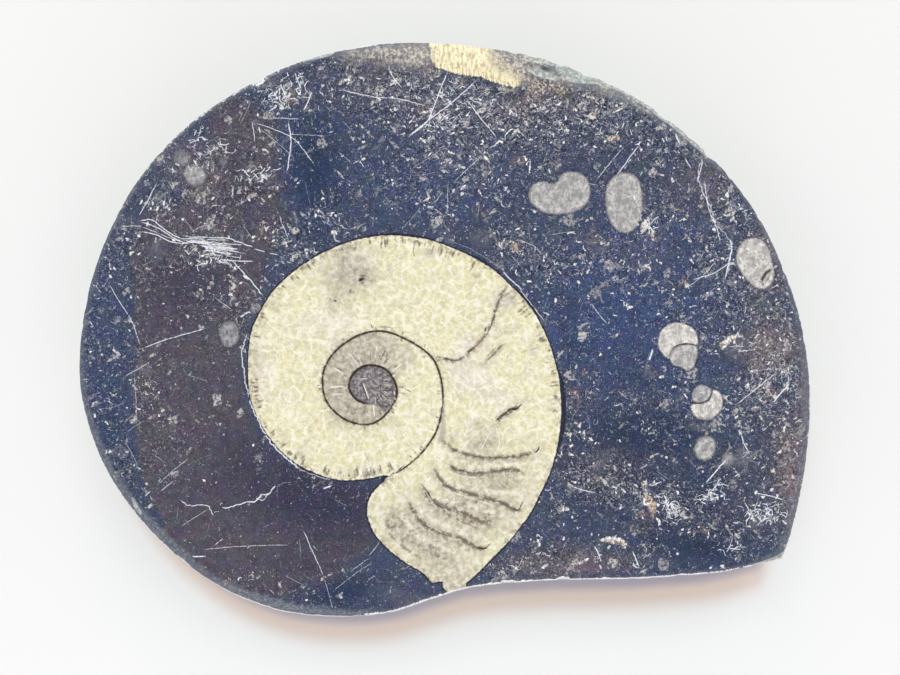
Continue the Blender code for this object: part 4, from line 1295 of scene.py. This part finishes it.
class Graph:
    """Short names for the shader nodes that the materials use."""

    def __init__(self, name):
        self.material = bpy.data.materials.new(name)
        self.material.use_nodes = True
        self.tree = self.material.node_tree
        self.shader = self.tree.nodes["Principled BSDF"]
        self.place = self.add("ShaderNodeTexCoord").outputs["Object"]

    def add(self, kind, **settings):
        node = self.tree.nodes.new(kind)
        for key, value in settings.items():
            setattr(node, key, value)
        return node

    def feed(self, socket, value):
        if isinstance(value, bpy.types.NodeSocket):
            self.tree.links.new(value, socket)
        else:
            socket.default_value = value

    def feed_all(self, node, **values):
        """Feeds sockets by name, with an underscore for each space."""
        for name, value in values.items():
            self.feed(node.inputs[name.replace("_", " ")], value)
        return node

    def attribute(self, name):
        return self.add("ShaderNodeAttribute", attribute_name=name).outputs["Fac"]

    def math(self, operation, *values, clamp=False):
        node = self.add("ShaderNodeMath", operation=operation, use_clamp=clamp)
        for socket, value in zip(node.inputs, values):
            self.feed(socket, value)
        return node.outputs[0]

    def plus(self, a, b):
        return self.math("ADD", a, b)

    def minus(self, a, b):
        return self.math("SUBTRACT", a, b)

    def times(self, a, b, clamp=False):
        return self.math("MULTIPLY", a, b, clamp=clamp)

    def most(self, a, b):
        return self.math("MAXIMUM", a, b)

    def power(self, a, b):
        return self.math("POWER", a, b)

    def swing(self, value, amount):
        """A noise about 0.5 turned into a push to either side of zero."""
        return self.times(self.minus(value, 0.5), amount)

    def remap(self, value, low, high, to_low=0.0, to_high=1.0, smooth=True):
        node = self.add("ShaderNodeMapRange", interpolation_type="SMOOTHSTEP" if smooth else "LINEAR")
        self.feed_all(node, Value=value, From_Min=low, From_Max=high, To_Min=to_low, To_Max=to_high)
        return node.outputs["Result"]

    def mix(self, factor, first, second, blend="MIX"):
        node = self.add("ShaderNodeMix", data_type="RGBA", blend_type=blend, clamp_factor=True)
        for socket, value in ((0, factor), (6, first), (7, second)):
            self.feed(node.inputs[socket], value)
        return node.outputs[2]

    def coordinates(self, scale=(1.0, 1.0, 1.0), turn=0.0, shift=(0.0, 0.0, 0.0)):
        """Millimetres on the piece, turned and then made finer by the scale along each axis."""
        node = self.add("ShaderNodeMapping", vector_type="TEXTURE")
        self.feed_all(node, Vector=self.place, Scale=[MM / c for c in scale],
                      Rotation=(0.0, 0.0, math.radians(turn)), Location=[c * MM for c in shift])
        return node.outputs[0]

    def noise(self, scale, detail=2.0, roughness=0.5, distortion=0.0, where=None, dimensions="2D",
              colour=False):
        """Noise on the plan of the piece; three-dimensional only where the wall needs it."""
        node = self.add("ShaderNodeTexNoise", noise_dimensions=dimensions)
        self.feed_all(node, Vector=where or self.coordinates(), Scale=scale, Detail=detail,
                      Roughness=roughness, Distortion=distortion)
        return node.outputs[1 if colour else 0]

    def cells(self, scale, feature="F1", where=None):
        node = self.add("ShaderNodeTexVoronoi", feature=feature, voronoi_dimensions="2D")
        return self.feed_all(node, Vector=where or self.coordinates(), Scale=scale)

    def vector(self, operation, first, second):
        """Arithmetic on vectors. For SCALE, the second value is a number."""
        node = self.add("ShaderNodeVectorMath", operation=operation)
        self.feed(node.inputs[0], first)
        self.feed(node.inputs["Scale" if operation == "SCALE" else 1], second)
        return node.outputs[0]

    def bent(self, where, scale, amount):
        """Coordinates pushed about by a noise, so that cells lose their straight sides."""
        push = self.noise(scale, 2.0, where=where, colour=True)
        push = self.vector("SUBTRACT", push, (0.5, 0.5, 0.5))
        return self.vector("ADD", where, self.vector("SCALE", push, amount))

    def channels(self, colour):
        node = self.add("ShaderNodeSeparateColor")
        self.feed(node.inputs[0], colour)
        return node.outputs


def debris(g, scale, density, size, where):
    """Fragments: a mask of cell middles that are present, and a random tone for each."""
    cell = g.cells(scale, where=where)
    red, green, blue = g.channels(cell.outputs["Color"])
    present = g.math("LESS_THAN", red, density)
    reach = g.times(g.plus(green, 0.35), size)
    near = g.remap(g.minus(reach, cell.outputs["Distance"]), 0.0, 0.09)
    return g.times(present, near), blue


def matrix_colour(g):
    """Black limestone, finely speckled and full of broken shell, tinted navy, teal and brown by region; the
    brown, navy and blue tints and the pale haze are painted reflections of the room in the polish.
    """
    # regional tints: the brown area, the navy strip, the blue patches and the pale haze are painted
    # reflections of the room in the polish; the deep, dusk and warm patches tint it further
    drift = g.minus(g.noise(0.09, 3.0), 0.5)
    fray = g.minus(g.noise(0.7, 3.0, 0.6), 0.5)
    wander = g.plus(g.times(drift, 1.4), g.times(fray, 0.9))
    brown = g.remap(g.plus(g.attribute("brown"), wander), -1.7, 1.7)
    strip = g.remap(g.plus(g.attribute("strip"), g.times(wander, 0.4)), -0.12, 0.12)
    brown = g.times(brown, g.minus(1.0, strip))
    brown = g.most(g.times(brown, 0.92), g.attribute("warm"))
    # painted bluish reflection of the room
    colour = g.mix(g.attribute("blue"), srgb(66, 77, 102), srgb(58, 77, 118))
    colour = g.mix(g.attribute("deep"), colour, srgb(36, 55, 84))
    colour = g.mix(brown, colour, srgb(87, 82, 92))
    colour = g.mix(g.attribute("dusk"), colour, srgb(58, 58, 80))
    # painted pale sheen of the room's reflection
    colour = g.mix(g.times(g.attribute("sheen_haze"), 0.9), colour, srgb(128, 117, 122))
    colour = g.mix(0.30, colour, g.noise(0.35, 2.0, 0.6, 0.4, colour=True), "OVERLAY")

    patchy = g.minus(g.noise(0.14, 3.0), 0.5)
    patchy = g.plus(patchy, g.swing(g.noise(0.45, 2.0), 0.7))
    density = g.minus(g.attribute("hash"), g.attribute("bare"))
    density = g.plus(density, g.times(patchy, 1.2))
    density = g.remap(density, -0.45, 1.0, 0.02, 1.0, smooth=False)

    # clouds, dark and pale crystals
    cloud = g.noise(0.6, 3.0, 0.62)
    colour = g.mix(g.remap(cloud, 0.34, 0.58, 0.30, 0.0), colour, srgb(34, 39, 58))
    lumps = g.noise(1.05, 2.0, 0.6, 0.5)
    colour = g.mix(g.times(g.remap(lumps, 0.56, 0.76), g.remap(density, 0.1, 1.0, 0.05, 0.60)), colour,
                   srgb(128, 126, 134))
    colour = g.mix(g.times(g.remap(lumps, 0.47, 0.35), g.remap(density, 0.1, 1.0, 0.05, 0.75)), colour,
                   INK)
    grain = g.noise(2.1, 2.0, 0.75)
    fine = g.noise(4.2, 2.0, 0.7)
    colour = g.mix(g.times(g.remap(grain, 0.48, 0.34), g.remap(density, 0.0, 1.0, 0.20, 0.80)), colour,
                   INK)
    colour = g.mix(g.remap(fine, 0.48, 0.34, 0.0, 0.30), colour, srgb(34, 36, 52))
    colour = g.mix(g.times(g.remap(grain, 0.59, 0.76), g.remap(density, 0.0, 1.0, 0.12, 0.72)), colour,
                   srgb(160, 158, 164))
    colour = g.mix(g.times(g.remap(fine, 0.59, 0.76), g.remap(density, 0.0, 1.0, 0.16, 0.50)), colour,
                   srgb(178, 178, 188))

    # dull fragments of shell, their insides broken up
    crumb = g.noise(1.9, 3.0, 0.7)
    for scale, size, turn, stretch, share in ((0.45, 0.50, 0, (1.0, 1.0, 1.0), 0.30),
                                              (0.80, 0.50, 60, (0.8, 1.2, 1.0), 0.30),
                                              (1.00, 0.44, 28, (0.50, 1.5, 1.0), 0.34),
                                              (1.10, 0.40, -47, (0.46, 1.6, 1.0), 0.34)):
        where = g.bent(g.coordinates(stretch, turn, (turn * 0.31, turn * 0.17, 0.0)), 1.3, 0.9)
        mask, tone = debris(g, scale, g.times(density, share), size, where)
        tone = g.power(tone, 2.6)
        shard = g.mix(tone, srgb(86, 88, 102), srgb(208, 205, 200))
        mask = g.times(mask, g.remap(crumb, 0.40, 0.58, 0.05, 1.0))
        colour = g.mix(g.times(mask, g.remap(tone, 0.0, 1.0, 0.30, 0.95)), colour, shard)

    # thin curved shards: the level lines of a noise, broken up by another
    for scale, shift, chance in ((0.70, 0.0, 0.50), (1.05, 33.0, 0.52), (0.45, 71.0, 0.52)):
        where = g.coordinates((1.0, 1.0, 1.0), shift * 2.0, (shift, -shift * 0.7, 0.0))
        level = g.noise(scale, 1.5, 0.5, 0.7, where)
        line = g.remap(g.math("ABSOLUTE", g.minus(level, 0.5)), 0.022 * scale, 0.008 * scale)
        broken = g.noise(1.3, 2.0, 0.6, 0.0, where)
        gate = g.minus(broken, g.minus(chance + 0.15, g.times(density, 0.18)))
        line = g.times(line, g.remap(gate, 0.0, 0.05))
        colour = g.mix(g.times(line, 0.66), colour, srgb(206, 206, 208))

    # white specks
    for scale, shift, top, bottom in ((1.3, 40.0, 0.790, 0.680), (2.4, 90.0, 0.780, 0.670)):
        speck = g.noise(scale, 2.0, 0.6, 0.8, g.coordinates((1.0, 1.0, 1.0), 0, (shift, 12.0, 0.0)))
        level = g.remap(density, 0.0, 1.0, top, bottom, smooth=False)
        bright = g.remap(g.minus(speck, level), 0.0, 0.025)
        colour = g.mix(g.times(bright, 0.95), colour, srgb(232, 232, 230))
    mask, tone = debris(g, 1.5, g.times(density, 0.20), 0.34, g.bent(g.coordinates(), 0.9, 0.9))
    mask = g.times(mask, g.remap(tone, 0.3, 1.0, 0.1, 1.0))
    return g.mix(mask, colour, srgb(230, 230, 228))


def shell_colour(g):
    """Cream calcite: cloudy crystals about a millimetre across with soft pale seams, grey in places, with
    painted shade and painted highlights along the growth ridges.
    """
    where = g.bent(g.bent(g.coordinates(), 0.35, 1.8), 1.4, 0.6)
    cell = g.cells(0.60, where=where)
    seam = g.cells(0.60, "DISTANCE_TO_EDGE", where=where)
    fine = g.cells(1.15, "DISTANCE_TO_EDGE", where=g.bent(g.coordinates(), 1.2, 0.8))
    red, green, _ = g.channels(cell.outputs["Color"])
    broad = g.noise(0.30, 3.0)
    pink = g.remap(g.plus(g.attribute("pink"), g.swing(broad, 0.9)), 0.0, 0.60)
    colour = g.mix(pink, srgb(226, 220, 173), srgb(226, 217, 204))
    colour = g.mix(g.times(g.power(red, 2.0), 0.40), colour, srgb(206, 202, 162))
    colour = g.mix(g.times(g.power(green, 3.0), 0.35), colour, srgb(216, 220, 210))
    lumps = g.noise(0.62, 3.0, 0.62, 0.4)
    colour = g.mix(g.remap(lumps, 0.50, 0.68, 0.0, 0.60), colour, srgb(204, 199, 170))
    colour = g.mix(g.remap(lumps, 0.49, 0.32, 0.0, 0.75), colour, srgb(243, 240, 222))
    knots = g.noise(1.25, 2.0, 0.62)
    colour = g.mix(g.remap(knots, 0.52, 0.72, 0.0, 0.32), colour, srgb(192, 186, 160))
    colour = g.mix(g.remap(knots, 0.48, 0.32, 0.0, 0.38), colour, srgb(247, 244, 228))
    grain = g.noise(2.6, 2.0, 0.70)
    colour = g.mix(g.remap(grain, 0.52, 0.76, 0.0, 0.22), colour, srgb(190, 184, 158))
    colour = g.mix(g.remap(grain, 0.46, 0.30, 0.0, 0.26), colour, srgb(250, 247, 232))
    some = g.remap(g.noise(0.7, 2.0, 0.6), 0.40, 0.62, 0.05, 1.0)
    line = g.times(g.remap(seam.outputs["Distance"], 0.17, 0.0, 0.0, 0.68), some)
    colour = g.mix(line, colour, srgb(250, 248, 234))
    colour = g.mix(g.times(g.remap(fine.outputs["Distance"], 0.12, 0.0, 0.0, 0.34), g.minus(1.1, some)),
                   colour, srgb(248, 246, 232))

    taupe = g.times(g.attribute("taupe"), g.remap(lumps, 0.34, 0.62, 0.80, 1.15), clamp=True)
    colour = g.mix(g.times(taupe, 0.90), colour, g.mix(g.remap(knots, 0.40, 0.60), srgb(208, 201, 186),
                                                       srgb(170, 162, 148)))

    # greyer places and the painted shade beside the growth ridges, mottled and speckled with brown
    speck = g.noise(1.1, 4.0, 0.70)
    soft = g.most(g.attribute("grey"), g.attribute("shade"))
    grey_and_painted_shade = g.mix(g.remap(speck, 0.38, 0.64), srgb(190, 184, 168), srgb(134, 125, 112))
    colour = g.mix(g.times(soft, g.remap(speck, 0.30, 0.60, 0.45, 0.92)), colour, grey_and_painted_shade)
    colour = g.mix(g.times(g.remap(soft, 0.70, 1.05), g.remap(speck, 0.54, 0.70, 0.0, 0.8)), colour,
                   srgb(96, 86, 74))
    # painted highlights along the growth ridges
    ridge_highlight = g.times(g.attribute("ridge_highlight"), g.remap(speck, 0.38, 0.60, 0.85, 0.20))
    colour = g.mix(ridge_highlight, colour, srgb(242, 238, 220))

    # grey fringe of blotches inside the wall
    edge = g.remap(g.attribute("shell"), 1.5, 0.1)
    fringe = g.remap(g.noise(0.95, 3.0, 0.65), 0.50, 0.64)
    colour = g.mix(g.times(g.times(edge, fringe), 0.75), colour, srgb(150, 140, 124))
    blotch = g.times(g.attribute("fringe"), g.remap(speck, 0.34, 0.60, 0.25, 1.25))
    return g.mix(g.remap(blotch, 0.06, 0.80, 0.0, 0.92), colour, srgb(122, 110, 98))


def fossil_colour(g, colour):
    """Small fossils over the matrix: mottled, paler inside their edge, with a soft dark outline."""
    worm = g.noise(1.7, 3.0, 0.65)
    mottle = g.noise(0.75, 3.0, 0.60)
    streaks = g.noise(1.0, 3.0, 0.65, where=g.coordinates((2.4, 0.55, 1.0), -6.0))
    tone = g.attribute("fossil_tone")
    ragged = g.plus(g.swing(worm, 0.8), g.swing(mottle, 0.3))
    inside = g.plus(g.attribute("fossil"), ragged)
    strength = g.remap(tone, 0.0, 0.35, 0.40, 0.95)
    outline = g.times(g.remap(inside, -0.42, -0.12), strength)
    colour = g.mix(g.times(outline, 0.60), colour, srgb(46, 50, 66))
    body = g.mix(tone, srgb(126, 128, 140), srgb(246, 242, 234))
    dull = g.mix(tone, srgb(80, 83, 98), srgb(170, 168, 164))
    body = g.mix(g.remap(mottle, 0.42, 0.62, 0.0, 0.80), body, dull)
    body = g.mix(g.remap(worm, 0.48, 0.60, 0.0, 0.80), body, dull)
    body = g.mix(g.remap(worm, 0.40, 0.26, 0.0, 0.70), body,
                 g.mix(tone, srgb(160, 162, 168), srgb(250, 248, 240)))
    body = g.mix(g.remap(inside, 0.25, 1.35, 0.0, 0.30), body, dull)
    body = g.mix(g.remap(streaks, 0.53, 0.68, 0.0, 0.60), body,
                 g.mix(tone, srgb(150, 152, 160), srgb(236, 234, 226)))
    return g.mix(g.times(g.remap(inside, -0.28, 0.34), strength), colour, body)


def fragment_colour(g, colour):
    """Broken shell drawn in the mesh: dull slivers, rusty and tan bits, bright chips."""
    worm = g.noise(1.7, 3.0, 0.65)
    fine = g.noise(2.6, 2.0)
    sliver = g.mix(g.noise(0.9, 2.0), srgb(112, 106, 106), srgb(212, 204, 194))
    colour = g.mix(g.remap(g.attribute("flake"), 0.0, 0.6, 0.0, 0.75), colour, sliver)
    beige = g.times(g.attribute("beige"), g.remap(worm, 0.40, 0.56))
    colour = g.mix(beige, colour, g.mix(g.remap(fine, 0.35, 0.65), srgb(104, 94, 86), srgb(226, 214, 192)))
    rust = g.times(g.attribute("orange"), g.remap(g.noise(1.3, 3.0), 0.42, 0.58, 0.0, 0.7))
    colour = g.mix(rust, colour, srgb(186, 148, 122))
    bit = g.plus(g.attribute("tan"), g.swing(fine, 0.5))
    tan = g.mix(g.attribute("tan_tone"), srgb(190, 158, 128), srgb(232, 228, 216))
    tan = g.mix(g.remap(worm, 0.40, 0.60, 0.0, 0.85), tan, srgb(98, 88, 88))
    colour = g.mix(g.times(g.remap(bit, -0.04, 0.10), 0.95), colour, tan)
    chip = g.plus(g.attribute("chip"), g.swing(fine, 0.7))
    bright = g.mix(g.remap(worm, 0.38, 0.60), srgb(246, 246, 242), srgb(176, 174, 174))
    return g.mix(g.remap(chip, 0.24, 0.36), colour, bright)


def shell_wall(g, colour):
    """The coiled shell with the dark wall around it, its dark centre and the sliver of matrix inside."""
    waver = g.swing(g.noise(1.4, 3.0, 0.6), 0.30)
    rim = g.plus(g.attribute("shell"), waver)
    band = g.plus(g.remap(g.attribute("band"), 0.0, 1.0, 0.26, 0.85), waver)
    wall = g.remap(rim, g.times(band, -1.15), g.times(band, -0.85))
    colour = g.mix(g.times(wall, 0.9), colour, srgb(34, 37, 52))
    inside = g.remap(rim, -0.07, 0.09)
    colour = g.mix(inside, colour, shell_colour(g))
    whorl = g.noise(1.8, 3.0, 0.7)
    dusky = g.mix(g.remap(whorl, 0.42, 0.62), srgb(96, 90, 98), srgb(162, 158, 158))
    centre = g.attribute("dark_whorl")
    dusky = g.mix(g.remap(centre, 0.95, 0.15, 0.0, 0.50), dusky, srgb(76, 70, 76))
    colour = g.mix(g.remap(centre, -0.35, 0.30, 0.0, 0.92), colour, dusky)
    sliver = g.plus(g.attribute("wedge"), g.times(waver, 1.2))
    colour = g.mix(g.remap(sliver, -0.25, 0.22, 0.0, 0.60), colour, srgb(160, 150, 156))

    streak = g.noise(1.0, 3.0, 0.7)
    dark = g.times(g.attribute("dark"), g.remap(streak, 0.30, 0.56, 0.60, 1.15))
    colour = g.mix(g.remap(dark, 0.05, 0.85), colour, srgb(58, 46, 42))
    pale = g.times(g.attribute("pale"), g.remap(streak, 0.25, 0.55, 0.5, 1.2))
    return g.mix(g.remap(pale, 0.05, 0.9), colour, srgb(248, 244, 232)), inside


def ground_rim(g, colour, inside):
    """Stone dust on the wall, back and bevel, a painted warm highlight on the top bevel over its beige
    ground stone, and the broken pale edges, partly painted sheen.
    """
    worm = g.noise(1.7, 3.0, 0.65, dimensions="3D")
    grit = g.noise(5.0, 2.0, 0.75, dimensions="3D")
    scored = g.noise(1.0, 2.0, 0.7, where=g.coordinates((2.4, 2.4, 0.25)), dimensions="3D")
    dusty = g.mix(g.remap(grit, 0.38, 0.66), srgb(82, 90, 102), srgb(126, 134, 142))
    dusty = g.mix(g.remap(scored, 0.45, 0.66, 0.0, 0.6), dusty, srgb(160, 166, 168))
    dusty = g.mix(g.remap(worm, 0.50, 0.36, 0.0, 0.6), dusty, srgb(72, 80, 92))
    stroke = g.noise(1.0, 4.0, 0.75, where=g.coordinates((2.6, 0.55, 1.0)))
    # painted warm highlight of the lamp, streaked, over the bevel's beige ground stone
    glint_colour = g.mix(g.remap(stroke, 0.36, 0.54), srgb(200, 180, 140), srgb(248, 241, 204))
    glint_colour = g.mix(g.remap(worm, 0.56, 0.68, 0.0, 0.7), glint_colour, srgb(150, 134, 112))
    glint_edge = g.plus(g.attribute("painted_glint"), g.swing(stroke, 0.8))
    cover = g.remap(g.noise(1.6, 2.0, 0.7, dimensions="3D"), 0.36, 0.56, 0.45, 1.0)
    cover = g.times(g.attribute("dust"), cover)
    colour = g.mix(g.times(cover, g.remap(inside, 0.0, 1.0, 1.0, 0.35)), colour, dusty)
    colour = g.mix(g.remap(glint_edge, -0.12, 0.16, 0.0, 0.96), colour, glint_colour)
    streaky = g.times(g.attribute("streaky"), g.remap(stroke, 0.40, 0.54, 0.30, 1.0), clamp=True)
    colour = g.mix(streaky, colour, g.mix(g.remap(worm, 0.40, 0.60), srgb(208, 202, 190),
                                          srgb(132, 124, 120)))
    # pale broken edges with painted sheen
    chalk_and_sheen = g.plus(g.attribute("chalk_and_sheen"), g.swing(worm, 0.5))
    chalk_and_sheen = g.times(g.remap(chalk_and_sheen, -0.05, 0.08), g.remap(grit, 0.32, 0.52, 0.75, 1.0))
    colour = g.mix(chalk_and_sheen, colour, g.mix(g.remap(worm, 0.38, 0.58), srgb(202, 208, 202),
                                         srgb(148, 156, 152)))
    colour = g.mix(g.times(g.attribute("black"), g.remap(worm, 0.30, 0.56, 0.5, 1.0)), colour,
                   srgb(46, 54, 64))
    crushed = g.plus(g.attribute("crushed"), g.swing(worm, 0.8))
    crushed = g.plus(crushed, g.swing(grit, 0.4))
    crushed = g.remap(crushed, 0.44, 0.58)
    return g.mix(crushed, colour, g.mix(g.remap(grit, 0.35, 0.60), srgb(196, 198, 200),
                                        srgb(250, 250, 248))), crushed


def stone_material():
    """The slab's stone: matrix, shell, small fossils, scratches and the ground rim in one shader."""
    g = Graph(STONE)
    colour = matrix_colour(g)
    colour = fossil_colour(g, colour)
    colour = fragment_colour(g, colour)
    colour, inside = shell_wall(g, colour)
    colour, crushed = ground_rim(g, colour, inside)
    streak = g.noise(2.4, 3.0, 0.7)
    scratch = g.times(g.attribute("scratch"), g.remap(streak, 0.26, 0.54, 0.30, 1.3))
    colour = g.mix(g.remap(scratch, 0.06, 0.80), colour, srgb(224, 228, 234))
    g.feed(g.shader.inputs["Base Color"], colour)

    worn = g.attribute("worn")
    grit = g.noise(5.0, 2.0, 0.75, dimensions="3D")
    scored = g.noise(1.0, 2.0, 0.7, where=g.coordinates((2.4, 2.4, 0.25)), dimensions="3D")
    gloss = g.remap(g.noise(0.8, 4.0, 0.6), 0.3, 0.7, 0.13, 0.24)
    rough = g.most(gloss, g.times(worn, g.remap(grit, 0.3, 0.7, 0.46, 0.66)))
    rough = g.most(rough, g.remap(scratch, 0.05, 0.6, 0.0, 0.55))
    rough = g.most(rough, g.remap(crushed, 0.1, 0.8, 0.0, 0.8))
    g.feed(g.shader.inputs["Roughness"], rough)
    relief = g.times(worn, g.plus(g.times(grit, 0.5), g.times(scored, 0.5)))
    bump = g.add("ShaderNodeBump")
    bump.inputs["Strength"].default_value = 0.35
    bump.inputs["Distance"].default_value = 0.12 * MM
    g.feed(bump.inputs["Height"], relief)
    g.feed(g.shader.inputs["Normal"], bump.outputs[0])
    g.shader.inputs["IOR"].default_value = 1.5
    return g.material


# ---- stage -----------------------------------------------------------------------------------------
def floor_material():
    g = Graph("white_table")
    tint = g.noise(0.02, 2.0)
    g.feed(g.shader.inputs["Base Color"], g.mix(tint, (0.84, 0.85, 0.845, 1.0), (0.88, 0.885, 0.88, 1.0)))
    g.shader.inputs["Roughness"].default_value = 0.55
    return g.material


def build_stage():
    mesh = bpy.data.meshes.new("table")
    corners = [(-TABLE_REACH, -TABLE_REACH, 0), (TABLE_REACH, -TABLE_REACH, 0),
               (TABLE_REACH, TABLE_REACH, 0), (-TABLE_REACH, TABLE_REACH, 0)]
    mesh.from_pydata(corners, [], [(0, 1, 2, 3)])
    mesh.materials.append(floor_material())
    table = bpy.data.objects.new("table", mesh)
    bpy.context.scene.collection.objects.link(table)


def add_light(name, kind, power, colour, place, aim, axis):
    """A light at a place. Its axis, -Z or Z, points along aim."""
    data = bpy.data.lights.new(name, kind)
    data.energy = power
    data.color = colour
    lamp = bpy.data.objects.new(name, data)
    bpy.context.scene.collection.objects.link(lamp)
    lamp.location = place
    lamp.rotation_euler = aim.to_track_quat(axis, "Y").to_euler()
    return lamp


def card_light(name, place, target, size, power, colour):
    """A rectangular card that faces the target."""
    lamp = add_light(name, "AREA", power, colour, place, Vector(target) - Vector(place), "-Z")
    lamp.data.shape = "RECTANGLE"
    lamp.data.size, lamp.data.size_y = size


def sun_light(name, tilt, heading, spread, power, colour):
    """A soft distant light that the polish doesn't mirror: tilt from the vertical, compass heading
    and spread in degrees."""
    t, h = math.radians(tilt), math.radians(heading)
    away = Vector((math.sin(t) * math.cos(h), math.sin(t) * math.sin(h), math.cos(t)))
    lamp = add_light(name, "SUN", power, colour, away * SUN_DISTANCE, away, "Z")
    lamp.data.angle = math.radians(spread)
    lamp.visible_glossy = False


def build_room():
    """A lilac room, darker overhead, so that the polish doesn't veil the stone."""
    world = bpy.data.worlds.new("room")
    bpy.context.scene.world = world
    world.use_nodes = True
    tree = world.node_tree
    back = tree.nodes["Background"]
    coords = tree.nodes.new("ShaderNodeTexCoord")
    split = tree.nodes.new("ShaderNodeSeparateXYZ")
    overhead = tree.nodes.new("ShaderNodeMapRange")
    overhead.interpolation_type = "SMOOTHSTEP"
    for name, number in (("From Min", 0.72), ("From Max", 0.95), ("To Min", 0.64), ("To Max", 0.21)):
        overhead.inputs[name].default_value = number
    tree.links.new(coords.outputs["Generated"], split.inputs[0])
    tree.links.new(split.outputs["Z"], overhead.inputs["Value"])
    tree.links.new(overhead.outputs["Result"], back.inputs["Strength"])
    back.inputs["Color"].default_value = (0.96, 0.86, 1.0, 1.0)


def build_lights():
    """Cool daylight from the top side of the face, a peach one nearly overhead that reaches into its
    shadow, two soft patches of sky that widen the shadow, and cards for the near and the far bevel."""
    sun_light("daylight", 27.5, 92.0, 10.0, 1.12, (0.39, 0.82, 1.0))
    sun_light("peach", 17.0, 89.0, 7.0, 1.08, (1.0, 0.71, 0.32))
    sun_light("sky_left", 38.0, 112.0, 16.0, 0.24, (0.88, 0.91, 1.0))
    sun_light("sky_right", 38.0, 70.0, 18.0, 0.24, (0.88, 0.91, 1.0))
    card_light("front_card", (0.0, -0.30, 0.14), (0, -0.06, 0), (0.30, 0.08), 0.17, (1.0, 0.98, 1.0))
    card_light("warm_card", (-0.02, 0.34, 0.205), (0, 0.04, 0.01), (0.13, 0.07), 0.10, (1.0, 0.86, 0.55))


def build_camera():
    """Straight above the face, with the view's middle where the survey's is."""
    data = bpy.data.cameras.new("camera")
    data.lens = LENS
    data.sensor_width = SENSOR
    data.clip_start = 0.01
    camera = bpy.data.objects.new("camera", data)
    bpy.context.scene.collection.objects.link(camera)
    camera.location = (*CAMERA_SPOT, THICKNESS - OUTLINE_DEPTH + CAMERA_REACH)
    bpy.context.scene.camera = camera


def main():
    bpy.context.scene.view_settings.view_transform = "Standard"
    slab = build_slab()
    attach(slab, "root")
    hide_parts(NODE)
    build_stage()
    build_lights()
    build_room()
    build_camera()


main()
